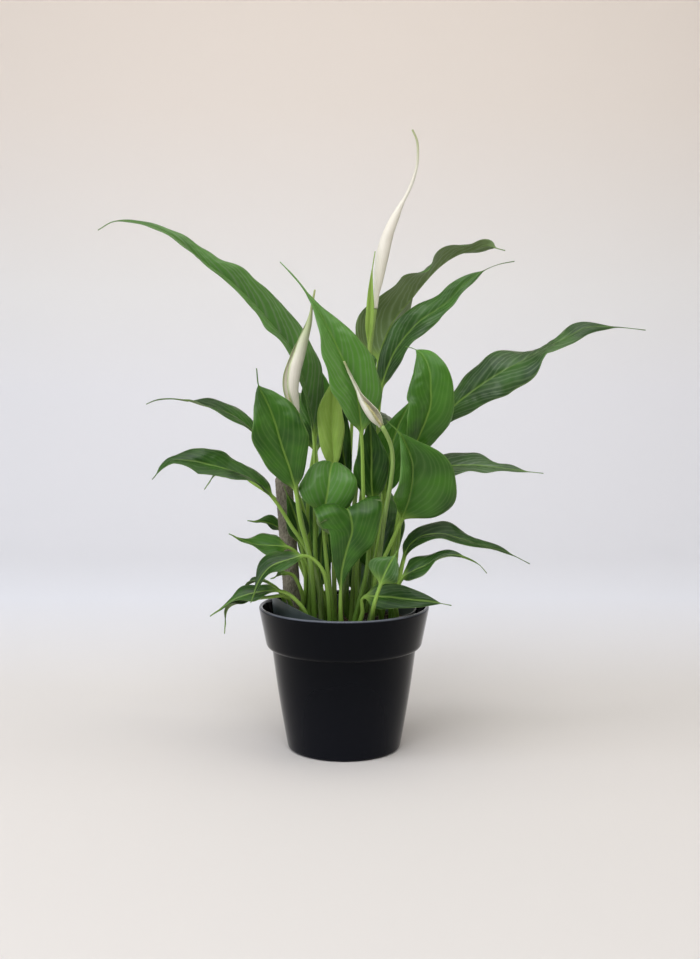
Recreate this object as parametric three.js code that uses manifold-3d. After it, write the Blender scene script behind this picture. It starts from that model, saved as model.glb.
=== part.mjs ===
// A potted peace lily: a young clump of lance-shaped leaves and three flowers, growing in soil
// in a thin nursery pot that stands inside a glossy collared cover pot. Millimetres, +Z up, and
// the origin is the centre of the cover pot's underside. The front of the plant faces -Y.
import * as THREE from 'three';
import { mergeVertices } from 'three/addons/utils/BufferGeometryUtils.js';
import Module from 'manifold-3d';

const wasm = await Module();
wasm.setup();

// Cover pot: a tapered body with a wide collar under the lip.
const POT_HEIGHT = 128.5;
const POT_FOOT_RADIUS = 51;
const BODY_TOP_RADIUS = 64.5;
const BODY_TOP = 91;
const COLLAR_BOTTOM_RADIUS = 69.5;
const RIM_RADIUS = 76;
const POT_WALL = 4;
const POT_FLOOR = 5;
const POT_SIDES = 48;

// Nursery pot: thin flexible plastic, standing on the cover pot's floor.
const SEAT_GAP = 0.3;
const NURSERY_FOOT_RADIUS = 42;
const NURSERY_RIM_RADIUS = 64.5;
const NURSERY_RIM = 126;
const NURSERY_WALL = 1.2;
const DRAIN_HOLE_RADIUS = 4;
const DRAIN_CIRCLE_RADIUS = 27;
const DRAIN_HOLES = 5;
const DRAIN_HOLE_SIDES = 12;
const RIM_LIFT = 13;
const RIM_LIFT_FULLNESS = 0.7;
const RIM_LIFT_AT = THREE.MathUtils.degToRad(202);
const RIM_LIFT_SPREAD = THREE.MathUtils.degToRad(57);

// Soil, with a plain hole for each stem.
const SOIL_TOP = 114;
const STEM_DEPTH = 16;
const STEM_CLEARANCE = 0.5;
const HOLE_SIDES = 12;
const SOIL_SIDES = 40;
const SOIL_CLEARANCE = 0.2;

// Support pole of coir fibre, leaning a little to the left.
const POLE_RADIUS = 8;
const POLE_FOOT = [-44, 12, 92];
const POLE_TOP = [-54.5, 18, 242];
const POLE_CLEARANCE = 0.5;
const POLE_SIDES = 20;

// Leaves: a round stalk and a thin blade with a rib below. A round section's faces each turn
// through SECTION_TURN of a half circle, so its two sides are small flats.
const STALK_RADIUS = 2.3;
const STALK_END_RADIUS = 1.5;
const STALK_STEP = 45;
const SECTION_TURN = 0.88;
const LINE_STEPS = 20;
const BLADE_THICKNESS = 0.8;
const BLADE_COLUMNS = 5;
const BLADE_STEP = 15;
const BLADE_STEPS_LEAST = 6;
const BLADE_STEPS_MOST = 22;
const TIP_HALF_WIDTH = 0.5;
const RIB_DEPTH = 1.2;
const DOME = 0.12;
const RIPPLE_LAG = 1.6;
const TAPER = 1.25;

// Flowers: a round stem, a sheet rolled round a spadix, and the spadix.
const FLOWER_STEM_RADIUS = 2.3;
const FLOWER_STEM_STEPS = 6;
const STEM_COLUMNS = 4;
const SPATHE_THICKNESS = 0.8;
const SPATHE_COLUMNS = 9;
const SPATHE_STEPS = 10;
const SPATHE_TIP_RADIUS = 0.7;
const SPADIX_LENGTH = 26;
const SPADIX_RADII = [1.1, 1.2, 1.5, 1.7, 1.6, 1];

const GREEN = new THREE.Color(0x35592b);
const YOUNG_GREEN = new THREE.Color(0x7d9c45);
const CREAM = new THREE.Color(0xe9e6d2);

function finish(color, roughness, metalness = 0) {
  return new THREE.MeshStandardMaterial({ color, roughness, metalness });
}

function add(parent, name, geometry, material) {
  const mesh = new THREE.Mesh(geometry, material);
  mesh.name = name;
  parent.add(mesh);
}

// ---- Booleans on closed meshes ----

function toManifold(geometry) {
  const bare = geometry.clone();
  bare.deleteAttribute('normal');
  bare.deleteAttribute('uv');
  const merged = mergeVertices(bare, 1e-4);
  const vertProperties = new Float32Array(merged.attributes.position.array);
  const triVerts = new Uint32Array(merged.index.array);
  return new wasm.Manifold(new wasm.Mesh({ numProp: 3, vertProperties, triVerts }));
}

function toGeometry(manifold) {
  const { vertProperties, triVerts } = manifold.getMesh();
  const geometry = new THREE.BufferGeometry();
  geometry.setAttribute('position', new THREE.BufferAttribute(vertProperties, 3));
  geometry.setIndex(new THREE.BufferAttribute(triVerts, 1));
  geometry.computeVertexNormals();
  return geometry;
}

// A profile of [radius, height] pairs, from the underside's centre round to the inside's centre.
function turned(profile, sides) {
  const points = profile.map(([radius, height]) => new THREE.Vector2(radius, height));
  const geometry = new THREE.LatheGeometry(points, sides);
  geometry.rotateX(Math.PI / 2);
  return geometry;
}

// A plain round bar between two points.
function bar(from, to, radius, sides) {
  const start = new THREE.Vector3(...from);
  const end = new THREE.Vector3(...to);
  const geometry = new THREE.CylinderGeometry(radius, radius, start.distanceTo(end), sides);
  const along = end.clone().sub(start).normalize();
  geometry.applyQuaternion(new THREE.Quaternion().setFromUnitVectors(new THREE.Vector3(0, 1, 0), along));
  const middle = start.add(end).multiplyScalar(0.5);
  geometry.translate(middle.x, middle.y, middle.z);
  return geometry;
}

// ---- Pots and soil ----

// The pot's outline, with each corner cut back by the small steps beside its dimension.
function coverPot() {
  const innerRim = RIM_RADIUS - POT_WALL;
  return turned([
    [0, 0],
    [POT_FOOT_RADIUS - 3, 0],
    [POT_FOOT_RADIUS - 0.8, 1],
    [POT_FOOT_RADIUS, 3.5],
    [(POT_FOOT_RADIUS + BODY_TOP_RADIUS) / 2 + 0.6, BODY_TOP / 2],
    [BODY_TOP_RADIUS, BODY_TOP],
    [COLLAR_BOTTOM_RADIUS - 2, BODY_TOP + 0.6],
    [COLLAR_BOTTOM_RADIUS, BODY_TOP + 3],
    [RIM_RADIUS, POT_HEIGHT - 1.6],
    [RIM_RADIUS - 0.7, POT_HEIGHT - 0.3],
    [RIM_RADIUS - 2, POT_HEIGHT],
    [innerRim + 0.6, POT_HEIGHT - 0.6],
    [innerRim, POT_HEIGHT - 2.5],
    [COLLAR_BOTTOM_RADIUS - POT_WALL, BODY_TOP + 6],
    [BODY_TOP_RADIUS - POT_WALL, BODY_TOP - 3],
    [POT_FOOT_RADIUS - POT_WALL, POT_FLOOR + 4],
    [POT_FOOT_RADIUS - POT_WALL - 3, POT_FLOOR],
    [0, POT_FLOOR],
  ], POT_SIDES);
}

const nurseryFloor = POT_FLOOR + SEAT_GAP;

function nurseryRadius(height) {
  const share = (height - nurseryFloor) / (NURSERY_RIM - nurseryFloor);
  return THREE.MathUtils.lerp(NURSERY_FOOT_RADIUS, NURSERY_RIM_RADIUS, share);
}

// The soft rim stands higher at the left front, where the root ball pushes it up.
function rimLift(angle) {
  let away = Math.abs(angle - RIM_LIFT_AT);
  away = Math.min(away, 2 * Math.PI - away) / RIM_LIFT_SPREAD;
  const rise = 0.5 + 0.5 * Math.cos(Math.PI * Math.min(away, 1));
  return RIM_LIFT * Math.pow(rise, RIM_LIFT_FULLNESS);
}

function nurseryPot() {
  const geometry = turned([
    [0, nurseryFloor],
    [NURSERY_FOOT_RADIUS, nurseryFloor],
    [nurseryRadius(SOIL_TOP + 1), SOIL_TOP + 1],
    [NURSERY_RIM_RADIUS, NURSERY_RIM],
    [NURSERY_RIM_RADIUS - NURSERY_WALL, NURSERY_RIM],
    [nurseryRadius(SOIL_TOP + 1) - NURSERY_WALL, SOIL_TOP + 1],
    [NURSERY_FOOT_RADIUS - NURSERY_WALL, nurseryFloor + NURSERY_WALL],
    [0, nurseryFloor + NURSERY_WALL],
  ], POT_SIDES);
  const spots = geometry.attributes.position;
  for (let i = 0; i < spots.count; i += 1) {
    const angle = Math.atan2(spots.getY(i), spots.getX(i)) + 2 * Math.PI;
    const atRim = spots.getZ(i) > NURSERY_RIM - 1;
    spots.setZ(i, spots.getZ(i) + (atRim ? rimLift(angle) : 0));
  }
  let pot = toManifold(geometry);
  for (let i = 0; i < DRAIN_HOLES; i += 1) {
    const turn = (2 * Math.PI * i) / DRAIN_HOLES;
    const x = DRAIN_CIRCLE_RADIUS * Math.cos(turn);
    const y = DRAIN_CIRCLE_RADIUS * Math.sin(turn);
    const drain = bar([x, y, 0], [x, y, nurseryFloor + 5], DRAIN_HOLE_RADIUS, DRAIN_HOLE_SIDES);
    pot = pot.subtract(toManifold(drain));
  }
  return toGeometry(pot);
}

function soil(holes) {
  const clear = NURSERY_WALL + SEAT_GAP;
  const bottom = nurseryFloor + clear;
  let body = toManifold(turned([
    [0, bottom],
    [nurseryRadius(bottom) - clear - SOIL_CLEARANCE, bottom],
    [nurseryRadius(SOIL_TOP) - clear - SOIL_CLEARANCE, SOIL_TOP],
    [0, SOIL_TOP],
  ], SOIL_SIDES));
  for (const { foot: [x, y], radius } of holes) {
    const hole = bar([x, y, SOIL_TOP - STEM_DEPTH - SEAT_GAP], [x, y, SOIL_TOP + 5], radius, HOLE_SIDES);
    body = body.subtract(toManifold(hole));
  }
  const low = new THREE.Vector3(...POLE_FOOT);
  const up = new THREE.Vector3(...POLE_TOP).sub(low).normalize();
  low.addScaledVector(up, -SEAT_GAP);
  const poleHole = bar(low.toArray(), POLE_TOP, POLE_RADIUS + POLE_CLEARANCE, POLE_SIDES);
  return toGeometry(body.subtract(toManifold(poleHole)));
}

// ---- Leaves and flowers ----

// Half-width of a blade as a share of its widest: t runs from its base at 0 to its tip at 1. A
// smaller belly moves the widest place towards the base, the last drip of it is a thin tip, and
// a smaller taper makes both ends blunter.
function lance(t, belly, drip, taper = TAPER) {
  const u = Math.min(1, t / (1 - drip));
  return Math.pow(Math.sin(Math.PI * Math.pow(u, belly)), taper);
}

// The value at t, from 0 to 1, along a row of evenly spaced values.
function along(values, t) {
  const place = t * (values.length - 1);
  const i = Math.min(values.length - 2, Math.floor(place));
  return THREE.MathUtils.lerp(values[i], values[i + 1], place - i);
}

// The smooth line through a stem's points, with the share of its length at each of them.
function stemLine(points) {
  const spots = points.map((p) => new THREE.Vector3(...p));
  const curve = new THREE.CatmullRomCurve3(spots, false, 'centripetal');
  curve.arcLengthDivisions = (points.length - 1) * LINE_STEPS;
  const lengths = curve.getLengths();
  const total = lengths[lengths.length - 1];
  return { curve, shares: points.map((p, i) => lengths[i * LINE_STEPS] / total) };
}

// Directions at one place on a line: tangent, the leaf's own right side, and its upper face.
function frameAt(curve, share, heading, roll) {
  const tangent = curve.getTangentAt(share);
  const level = new THREE.Vector3(Math.sin(heading), -Math.cos(heading), 0);
  const side = level.addScaledVector(tangent, -level.dot(tangent)).normalize();
  const face = new THREE.Vector3().crossVectors(side, tangent);
  const right = side.clone().multiplyScalar(Math.cos(roll)).addScaledVector(face, Math.sin(roll));
  const upper = face.multiplyScalar(Math.cos(roll)).addScaledVector(side, -Math.sin(roll));
  return { tangent, right, upper };
}

// Joins rings of 2 x columns corners into one closed skin. The first half of a ring runs left to
// right over the upper face and the rest comes back under it, and both faces are split alike.
function skin(rings, columns) {
  const size = 2 * columns;
  const index = [];
  for (let i = 0; i + 1 < rings.length; i += 1) {
    for (let k = 0; k < size; k += 1) {
      const a = i * size + k;
      const b = i * size + ((k + 1) % size);
      const c = b + size;
      const d = a + size;
      if (k < columns) index.push(a, b, c, a, c, d);
      else index.push(a, b, d, b, c, d);
    }
  }
  const last = (rings.length - 1) * size;
  for (let k = 1; k + 1 < columns + 1; k += 1) {
    const under = size - k;
    const over = k - 1;
    const nextUnder = under - 1;
    index.push(over, under, k, k, under, nextUnder);
    index.push(last + over, last + k, last + under, last + k, last + nextUnder, last + under);
  }
  const geometry = new THREE.BufferGeometry();
  geometry.setAttribute('position', new THREE.Float32BufferAttribute(rings.flat(), 3));
  geometry.setIndex(index);
  geometry.computeVertexNormals();
  return geometry;
}

const radians = THREE.MathUtils.degToRad;

// The corners of one section in the order that skin() joins them; s runs from -1 at the left
// edge to 1 at the right, over the upper face and back under it.
function section(columns, corner) {
  const corners = [];
  for (let k = 0; k < 2 * columns; k += 1) {
    const over = k < columns;
    const column = over ? k : 2 * columns - 1 - k;
    corners.push(corner((2 * column) / (columns - 1) - 1, over));
  }
  return corners;
}

function roundSection(radius, columns) {
  return section(columns, (s, over) => {
    const turn = 0.5 * Math.PI * (1 - s * SECTION_TURN) * (over ? 1 : -1);
    return [radius * Math.cos(turn), radius * Math.sin(turn)];
  });
}

// A blade's section: two halves raised from the midrib, a little domed, with rippled edges and
// a rib below.
function bladeSection(halfWidth, t, fold, [height, count, place]) {
  return section(BLADE_COLUMNS, (s, over) => {
    const raised = Math.abs(s) * Math.sin(radians(fold)) + DOME * (1 - (2 * Math.abs(s) - 1) ** 2);
    const ripple = s * s * Math.sin(2 * Math.PI * count * t + place + (s > 0 ? RIPPLE_LAG : 0));
    const y = raised * halfWidth + height * ripple * Math.sin(Math.PI * t);
    const rib = over || s !== 0 ? 0 : RIB_DEPTH * (1 - t);
    return [s * halfWidth * Math.cos(radians(fold)), y + (over ? 0.5 : -0.5) * BLADE_THICKNESS - rib];
  });
}

// A spathe's section: a sheet rolled round its own line, through the angle curl to each side.
function rolledSection(radius, curl) {
  return section(SPATHE_COLUMNS, (s, over) => {
    const reach = radius + (over ? -0.5 : 0.5) * SPATHE_THICKNESS;
    return [reach * Math.sin(curl * s), -reach * Math.cos(curl * s)];
  });
}

function placed(middle, { right, upper }, corners) {
  return corners.flatMap(([x, y]) => (
    middle.clone().addScaledVector(right, x).addScaledVector(upper, y).toArray()
  ));
}

// The two level rings of a stem where it stands in its hole in the soil.
function rooted([x, y], heading, radius, columns) {
  const right = new THREE.Vector3(Math.sin(radians(heading)), -Math.cos(radians(heading)), 0);
  const upper = new THREE.Vector3().crossVectors(right, new THREE.Vector3(0, 0, 1));
  const corners = roundSection(radius, columns);
  return [SOIL_TOP - STEM_DEPTH, SOIL_TOP + STEM_CLEARANCE].map((z) => (
    placed(new THREE.Vector3(x, y, z), { right, upper }, corners)
  ));
}

// One leaf, stalk and blade in one piece. Its line goes from the foot in the soil up the stalk
// and along the midrib; the blade is folded and waved across it.
function leaf(spec) {
  const { foot, stalk, blade, width, heading, roll = [0, 0], fold = 20, wave = [2, 2, 0] } = spec;
  const { belly = 0.7, drip = 0.1, taper } = spec;
  const { curve, shares } = stemLine([[...foot, SOIL_TOP + STEM_CLEARANCE], ...stalk, ...blade]);
  const base = shares[1 + stalk.length];
  const length = curve.getLength();
  const rings = rooted(foot, heading, STALK_RADIUS, BLADE_COLUMNS);
  const stalkSteps = Math.max(1, Math.round((length * base) / STALK_STEP));
  for (let i = 1; i <= stalkSteps; i += 1) {
    const share = (base * i) / (stalkSteps + 0.3);
    const axes = frameAt(curve, share, radians(heading), radians(roll[0]));
    const radius = THREE.MathUtils.lerp(STALK_RADIUS, STALK_END_RADIUS, share / base);
    rings.push(placed(curve.getPointAt(share), axes, roundSection(radius, BLADE_COLUMNS)));
  }
  const wanted = Math.round((length * (1 - base)) / BLADE_STEP);
  const steps = THREE.MathUtils.clamp(wanted, BLADE_STEPS_LEAST, BLADE_STEPS_MOST);
  for (let i = 1; i <= steps; i += 1) {
    const t = i / steps;
    const share = Math.min(1, base + (1 - base) * t);
    const axes = frameAt(curve, share, radians(heading), radians(along(roll, t)));
    const halfWidth = Math.max((width / 2) * lance(t, belly, drip, taper), TIP_HALF_WIDTH);
    rings.push(placed(curve.getPointAt(share), axes, bladeSection(halfWidth, t, fold, wave)));
  }
  return skin(rings, BLADE_COLUMNS);
}

// One flower: stem, spathe and spadix follow the same line, and the spathe and the spadix stand
// on the stem's end.
function flower(spec) {
  const { foot, stem, spathe, radius, curl, heading, belly, drip } = spec;
  const { curve, shares } = stemLine([[...foot, SOIL_TOP + STEM_CLEARANCE], ...stem, ...spathe]);
  const top = shares[1 + stem.length];
  const seat = top + SEAT_GAP / curve.getLength();
  const at = (share, corners) => (
    placed(curve.getPointAt(share), frameAt(curve, share, radians(heading), 0), corners)
  );
  const stemRings = rooted(foot, heading, FLOWER_STEM_RADIUS, STEM_COLUMNS);
  for (let i = 1; i <= FLOWER_STEM_STEPS; i += 1) {
    stemRings.push(at((top * i) / FLOWER_STEM_STEPS, roundSection(FLOWER_STEM_RADIUS, STEM_COLUMNS)));
  }
  const hoodRings = [];
  for (let i = 0; i <= SPATHE_STEPS; i += 1) {
    const t = i / SPATHE_STEPS;
    const share = THREE.MathUtils.lerp(seat, 1, t);
    const least = THREE.MathUtils.lerp(FLOWER_STEM_RADIUS, SPATHE_TIP_RADIUS, t);
    const wide = Math.max(radius * lance(t, belly, drip), least);
    hoodRings.push(at(Math.min(1, share), rolledSection(wide, along(curl, t))));
  }
  const spadixRings = SPADIX_RADII.map((size, i) => {
    const up = (SPADIX_LENGTH * i) / (SPADIX_RADII.length - 1);
    return at(seat + up / curve.getLength(), roundSection(size, STEM_COLUMNS));
  });
  return {
    stem: skin(stemRings, STEM_COLUMNS),
    spathe: skin(hoodRings, SPATHE_COLUMNS),
    spadix: skin(spadixRings, STEM_COLUMNS),
  };
}

// Each leaf's foot in the soil, the points that its stalk and then its midrib pass through, its
// full width, and the way its tip heads (degrees, 0 to the right and 90 to the back). Roll turns
// the blade about its midrib from base to tip, fold raises each half, and wave is the ripple of
// its edges: height, number and place. Belly, drip and taper shape its outline in lance().
const leaves = {
  upper_left: {
    foot: [-18, -6], stalk: [[-25, -2, 168], [-26, 4, 223]],
    blade: [[-27, 8, 279], [-34, 6, 318], [-44, 2, 351], [-66, -2, 380], [-81, -6, 397],
      [-100, -12, 415], [-121, -16, 430], [-143, -17, 449], [-168, -15, 461], [-197, -11, 465],
      [-213, -6, 458]],
    width: 42, heading: 180, roll: [35, 45], fold: 30, wave: [1.5, 2, 0], drip: 0.04, belly: 0.55,
  },
  centre_front: {
    foot: [8, -26], stalk: [[21, -26, 173], [17, -28, 225]],
    blade: [[15, -30, 281], [10, -33, 319], [-1, -34, 346], [-11, -33, 368], [-21, -30, 387],
      [-36, -24, 409], [-55, -16, 430]],
    width: 48, heading: 90, roll: [-25, -25], fold: 18, wave: [2, 2, 1], drip: 0.2,
  },
  top_back: {
    foot: [14, 14], stalk: [[27, 18, 166], [31, 26, 265]],
    blade: [[31, 27, 345], [36, 29, 364], [46, 33, 384], [60, 36, 401], [74, 38, 418],
      [87, 38, 431], [101, 36, 440], [117, 32, 445], [129, 27, 448], [136, 23, 445],
      [143, 20, 443]],
    width: 64, heading: 0, roll: [60, 48, 15, 5, 20, 60], fold: 14, wave: [4, 4, 2],
    belly: 0.52, drip: 0.06, taper: 0.65,
  },
  right_upper: {
    foot: [24, 8], stalk: [[25, 10, 167], [29, 14, 257]],
    blade: [[33, 17, 318], [38, 18, 336], [44, 18, 351], [51, 17, 362], [59, 16, 372],
      [68, 14, 381], [80, 12, 389], [91, 10, 397], [100, 8, 407], [110, 7, 416], [120, 5, 423],
      [134, 3, 429], [149, 2, 432]],
    width: 31, heading: 10, roll: [-45, -45], fold: 15, wave: [2.5, 3, 1], belly: 0.82,
    drip: 0.16, taper: 0.85,
  },
  far_right: {
    foot: [44, -4], stalk: [[46, -2, 169], [55, 2, 231]],
    blade: [[68, 6, 270], [84, 6, 291], [99, 6, 307], [118, 4, 322], [137, 1, 335],
      [154, -2, 344], [168, -3, 352], [179, -4, 358], [195, -6, 366], [210, -8, 374],
      [233, -9, 375], [262, -10, 372]],
    width: 42, heading: 0, roll: [-50, -55, -65, -10, -50, -40], fold: -8, wave: [3, 3, 0],
    drip: 0.1, belly: 1.0,
  },
  curled_right: {
    foot: [33, -4], stalk: [[42, -10, 170], [50, -16, 224]],
    blade: [[58, -17, 258], [63, -17, 275], [70, -18, 292], [75, -18, 308], [75, -18, 324],
      [74, -16, 338], [69, -11, 350], [61, -4, 356], [54, 2, 358]],
    width: 43, heading: 90, roll: [-30, -25, -5, 10, 0], fold: 12, wave: [2, 1.5, 0],
    belly: 0.95, drip: 0.1, taper: 0.8,
  },
  front_left: {
    foot: [-26, -22], stalk: [[-29, -27, 173], [-38, -36, 209]],
    blade: [[-41, -40, 232], [-46, -43, 253], [-53, -45, 274], [-59, -46, 295], [-66, -45, 312],
      [-72, -44, 324], [-74, -42, 339]],
    width: 48, heading: 90, roll: [-15, -15], fold: 15, wave: [2, 1.5, 2], belly: 1.1,
    drip: 0.13, taper: 0.85,
  },
  left_upper: {
    foot: [-20, 10], stalk: [[-29, 20, 166], [-40, 28, 220], [-65, 28, 263]],
    blade: [[-73, 28, 273], [-86, 28, 285], [-99, 27, 295], [-113, 25, 302], [-127, 22, 306],
      [-140, 19, 310], [-154, 16, 312], [-166, 13, 311], [-176, 10, 307]],
    width: 29, heading: 180, roll: [20, 20], fold: 15, wave: [2, 2, 0], drip: 0.32, belly: 0.85,
    taper: 1,
  },
  left_lower: {
    foot: [-31, -14], stalk: [[-31, -15, 175], [-46, -17, 201]],
    blade: [[-61, -19, 225], [-75, -19, 239], [-91, -18, 247], [-112, -20, 254],
      [-134, -22, 259], [-152, -24, 258], [-166, -26, 243]],
    width: 35, heading: 180, roll: [20, 15, 20, 55, 20, 30], fold: 12, wave: [2, 2, 0],
    taper: 0.8, drip: 0.05, belly: 0.7,
  },
  behind_left: {
    foot: [-32, 22], stalk: [[-37, 26, 179], [-62, 27, 220]],
    blade: [[-84, 28, 236], [-97, 29, 245], [-116, 29, 243], [-127, 29, 229]],
    width: 14, heading: 180, roll: [10, 10],
  },
  behind_pole: {
    foot: [-24, 34], stalk: [[-35, 41, 145], [-43, 45, 163]],
    blade: [[-53, 45, 186], [-70, 44, 196], [-89, 40, 199]],
    width: 20, heading: 180, roll: [30, 30],
  },
  low_left: {
    foot: [-40, -2], stalk: [[-34, -4, 142], [-37, -10, 170]],
    blade: [[-46, -16, 181], [-58, -20, 184], [-78, -24, 186], [-100, -28, 196]],
    width: 33, heading: 180, roll: [25, 20], fold: 10,
  },
  low_left_drooping: {
    foot: [-12, -34], stalk: [[-14, -39, 146], [-19, -43, 168]],
    blade: [[-31, -46, 179], [-45, -50, 177], [-62, -53, 171], [-72, -56, 159], [-79, -58, 141]],
    width: 30, heading: 190, roll: [20, 30], fold: 10,
  },
  low_over_pole: {
    foot: [-41, -12], stalk: [[-36, -16, 136], [-40, -20, 151]],
    blade: [[-45, -22, 159], [-54, -24, 160], [-64, -26, 156]],
    width: 12, heading: 180, roll: [20, 20],
  },
  low_left_outer: {
    foot: [-33, -34], stalk: [[-33, -42, 129], [-43, -42, 142]],
    blade: [[-53, -42, 148], [-74, -42, 147], [-94, -44, 141], [-115, -46, 127]],
    width: 22, heading: 180, roll: [20, 30], fold: 10,
  },
  low_left_thin: {
    foot: [-49, -6], stalk: [[-55, -20, 142]],
    blade: [[-61, -23, 149], [-73, -26, 155], [-86, -28, 150], [-93, -28, 142]],
    width: 8, heading: 180, roll: [10, 10],
  },
  low_left_hooked: {
    foot: [-44, -22], stalk: [[-50, -34, 142]],
    blade: [[-64, -36, 142], [-85, -38, 139], [-100, -40, 133], [-103, -42, 111]],
    width: 14, heading: 180, roll: [10, 10],
  },
  folded_centre: {
    foot: [-8, -20], stalk: [[-14, -22, 159], [-17, -23, 190]],
    blade: [[-18, -24, 209], [-14, -24, 233], [-12, -18, 249], [-10, -8, 256], [-8, 0, 252]],
    width: 50, heading: 90, fold: 8, wave: [2, 1.5, 0], belly: 0.9, taper: 0.8,
  },
  front_fan: {
    foot: [-2, -42], stalk: [[-3, -44, 132]],
    blade: [[-3, -45, 145], [-2, -49, 166], [3, -52, 188], [7, -52, 202], [5, -50, 216],
      [2, -45, 220], [4, -40, 216], [8, -37, 202], [11, -36, 193]],
    width: 60, heading: 90, fold: 6, wave: [2, 1, 0], belly: 2.4, drip: 0, taper: 0.58,
  },
  right_bright: {
    foot: [34, -22], stalk: [[27, -32, 156], [38, -34, 183]],
    blade: [[48, -34, 206], [55, -34, 226], [58, -36, 242], [58, -39, 258], [54, -42, 271],
      [47, -45, 284], [36, -46, 295]],
    width: 84, heading: 90, roll: [-35, -35], fold: 32, wave: [2, 1, 0], belly: 0.74, drip: 0.12,
    taper: 1.6,
  },
  pale_upright: {
    foot: [-8, -8], stalk: [[-9, -4, 170], [-9, 4, 214]],
    blade: [[-9, 5, 245], [-10, 5, 267], [-11, 5, 289], [-10, 6, 313], [-6, 8, 343]],
    width: 27, heading: 90, roll: [10, 10], fold: 25, young: true, belly: 0.95, taper: 1,
  },
  tall_sheath: {
    foot: [6, -2], stalk: [[10, 1, 168], [19, 1, 267], [22, -3, 330]],
    blade: [[22, -6, 355], [22, -6, 377], [23, -6, 398], [24, -6, 420], [27, -6, 440]],
    width: 8, heading: 90, fold: 25, wave: [0, 1, 0], young: true,
  },
  shaded_left: {
    foot: [-25, -10], stalk: [[-29, -7, 150]],
    blade: [[-38, -2, 180], [-41, -3, 201], [-47, -5, 219], [-53, -8, 236]],
    width: 20, heading: 100, fold: 10,
  },
  shaded_middle: {
    foot: [-16, 12], stalk: [[-18, 8, 140]],
    blade: [[-21, 6, 139], [-21, 6, 163], [-20, 6, 186], [-17, 6, 208]],
    width: 20, heading: 90, fold: 10,
  },
  dark_left: {
    foot: [-28, 4], stalk: [[-31, 14, 168], [-33, 18, 205], [-31, 23, 240]],
    blade: [[-26, 25, 273], [-25, 25, 294], [-26, 25, 312], [-27, 25, 330], [-30, 25, 349],
      [-31, 26, 360]],
    width: 29, heading: 100, fold: 15, belly: 1,
  },
  dark_behind: {
    foot: [4, 16], stalk: [[1, 20, 166], [-1, 23, 206]],
    blade: [[2, 24, 220], [1, 26, 247], [-3, 27, 283], [-5, 27, 319], [-6, 27, 346],
      [-4, 27, 366]],
    width: 17, heading: 90, fold: 15, belly: 0.8,
  },
  dark_middle: {
    foot: [12, -8], stalk: [[12, -8, 170], [20, -9, 206]],
    blade: [[25, -10, 219], [24, -12, 241], [24, -13, 263], [23, -14, 285], [21, -14, 305]],
    width: 32, heading: 90, fold: 15, belly: 0.8,
  },
  dark_right: {
    foot: [24, -4], stalk: [[28, 2, 170], [33, 6, 197]],
    blade: [[36, 8, 222], [39, 10, 248], [43, 11, 271], [49, 12, 289], [57, 12, 306],
      [64, 12, 320]],
    width: 34, heading: 90, fold: 5, wave: [1.5, 1, 0], belly: 0.8,
  },
  right_thin: {
    foot: [42, 8], stalk: [[43, 12, 167], [59, 16, 221]],
    blade: [[76, 18, 246], [95, 18, 251], [120, 14, 252], [148, 8, 249], [177, 2, 246]],
    width: 32, heading: 0, roll: [-35, -30], fold: 10, wave: [1.5, 3, 0], belly: 0.55,
  },
  right_arching: {
    foot: [46, -14], stalk: [[46, -14, 139], [50, -15, 159]],
    blade: [[52, -16, 169], [57, -18, 183], [67, -20, 192], [84, -23, 195], [101, -24, 191],
      [120, -25, 185], [140, -25, 180], [162, -24, 169]],
    width: 30, heading: 0, roll: [-25, -20], fold: 12, wave: [1.5, 3, 0],
  },
  right_hidden: {
    foot: [44, 18], stalk: [[47, 17, 141], [53, 14, 165]],
    blade: [[56, 11, 178], [61, 8, 190], [69, 6, 194], [87, 4, 189]],
    width: 12, heading: 0, roll: [-10, -10],
  },
  right_low: {
    foot: [48, -24], stalk: [[45, -28, 134]],
    blade: [[49, -32, 155], [59, -37, 164], [71, -39, 170], [83, -40, 177], [95, -41, 179],
      [108, -40, 176], [117, -39, 170], [123, -38, 163]],
    width: 32, heading: -10, roll: [-25, -15], fold: 12, belly: 0.6, drip: 0.3, taper: 0.9,
  },
  lowest_right: {
    foot: [12, -36], stalk: [[16, -37, 129]],
    blade: [[16, -38, 141], [34, -46, 144], [55, -53, 143], [73, -57, 142], [91, -59, 139]],
    width: 26, heading: -20, roll: [-50, -50], fold: 10, belly: 0.6, taper: 0.9,
  },
  small_upright: {
    foot: [24, -44], stalk: [[25, -60, 138]],
    blade: [[30, -62, 155], [34, -64, 166], [39, -64, 176], [45, -61, 186]],
    width: 34, heading: 60, fold: 15, belly: 0.9,
  },
  back_tall: {
    foot: [2, 28], stalk: [[4, 36, 198], [6, 42, 263]],
    blade: [[8, 48, 302], [10, 60, 336], [14, 80, 355], [18, 106, 361], [22, 136, 351]],
    width: 42, heading: 88, fold: 15, wave: [2, 2, 0],
  },
  back_high_left: {
    foot: [-12, 26], stalk: [[-16, 40, 178], [-22, 54, 228]],
    blade: [[-26, 64, 258], [-30, 84, 290], [-34, 112, 308], [-38, 148, 308], [-42, 186, 288]],
    width: 46, heading: 95, fold: 15, wave: [3, 2, 0],
  },
  back_high_right: {
    foot: [28, 26], stalk: [[32, 40, 178], [36, 52, 223]],
    blade: [[38, 62, 248], [42, 84, 274], [46, 112, 288], [50, 148, 286], [54, 182, 266]],
    width: 46, heading: 85, fold: 15, wave: [3, 2, 1],
  },
  back_middle_left: {
    foot: [-14, 38], stalk: [[-20, 42, 132]],
    blade: [[-22, 46, 146], [-24, 53, 176], [-25, 65, 206], [-28, 90, 226], [-32, 120, 224]],
    width: 44, heading: 95, fold: 12, wave: [2, 2, 0],
  },
  back_middle_right: {
    foot: [20, 38], stalk: [[24, 42, 132]],
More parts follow.
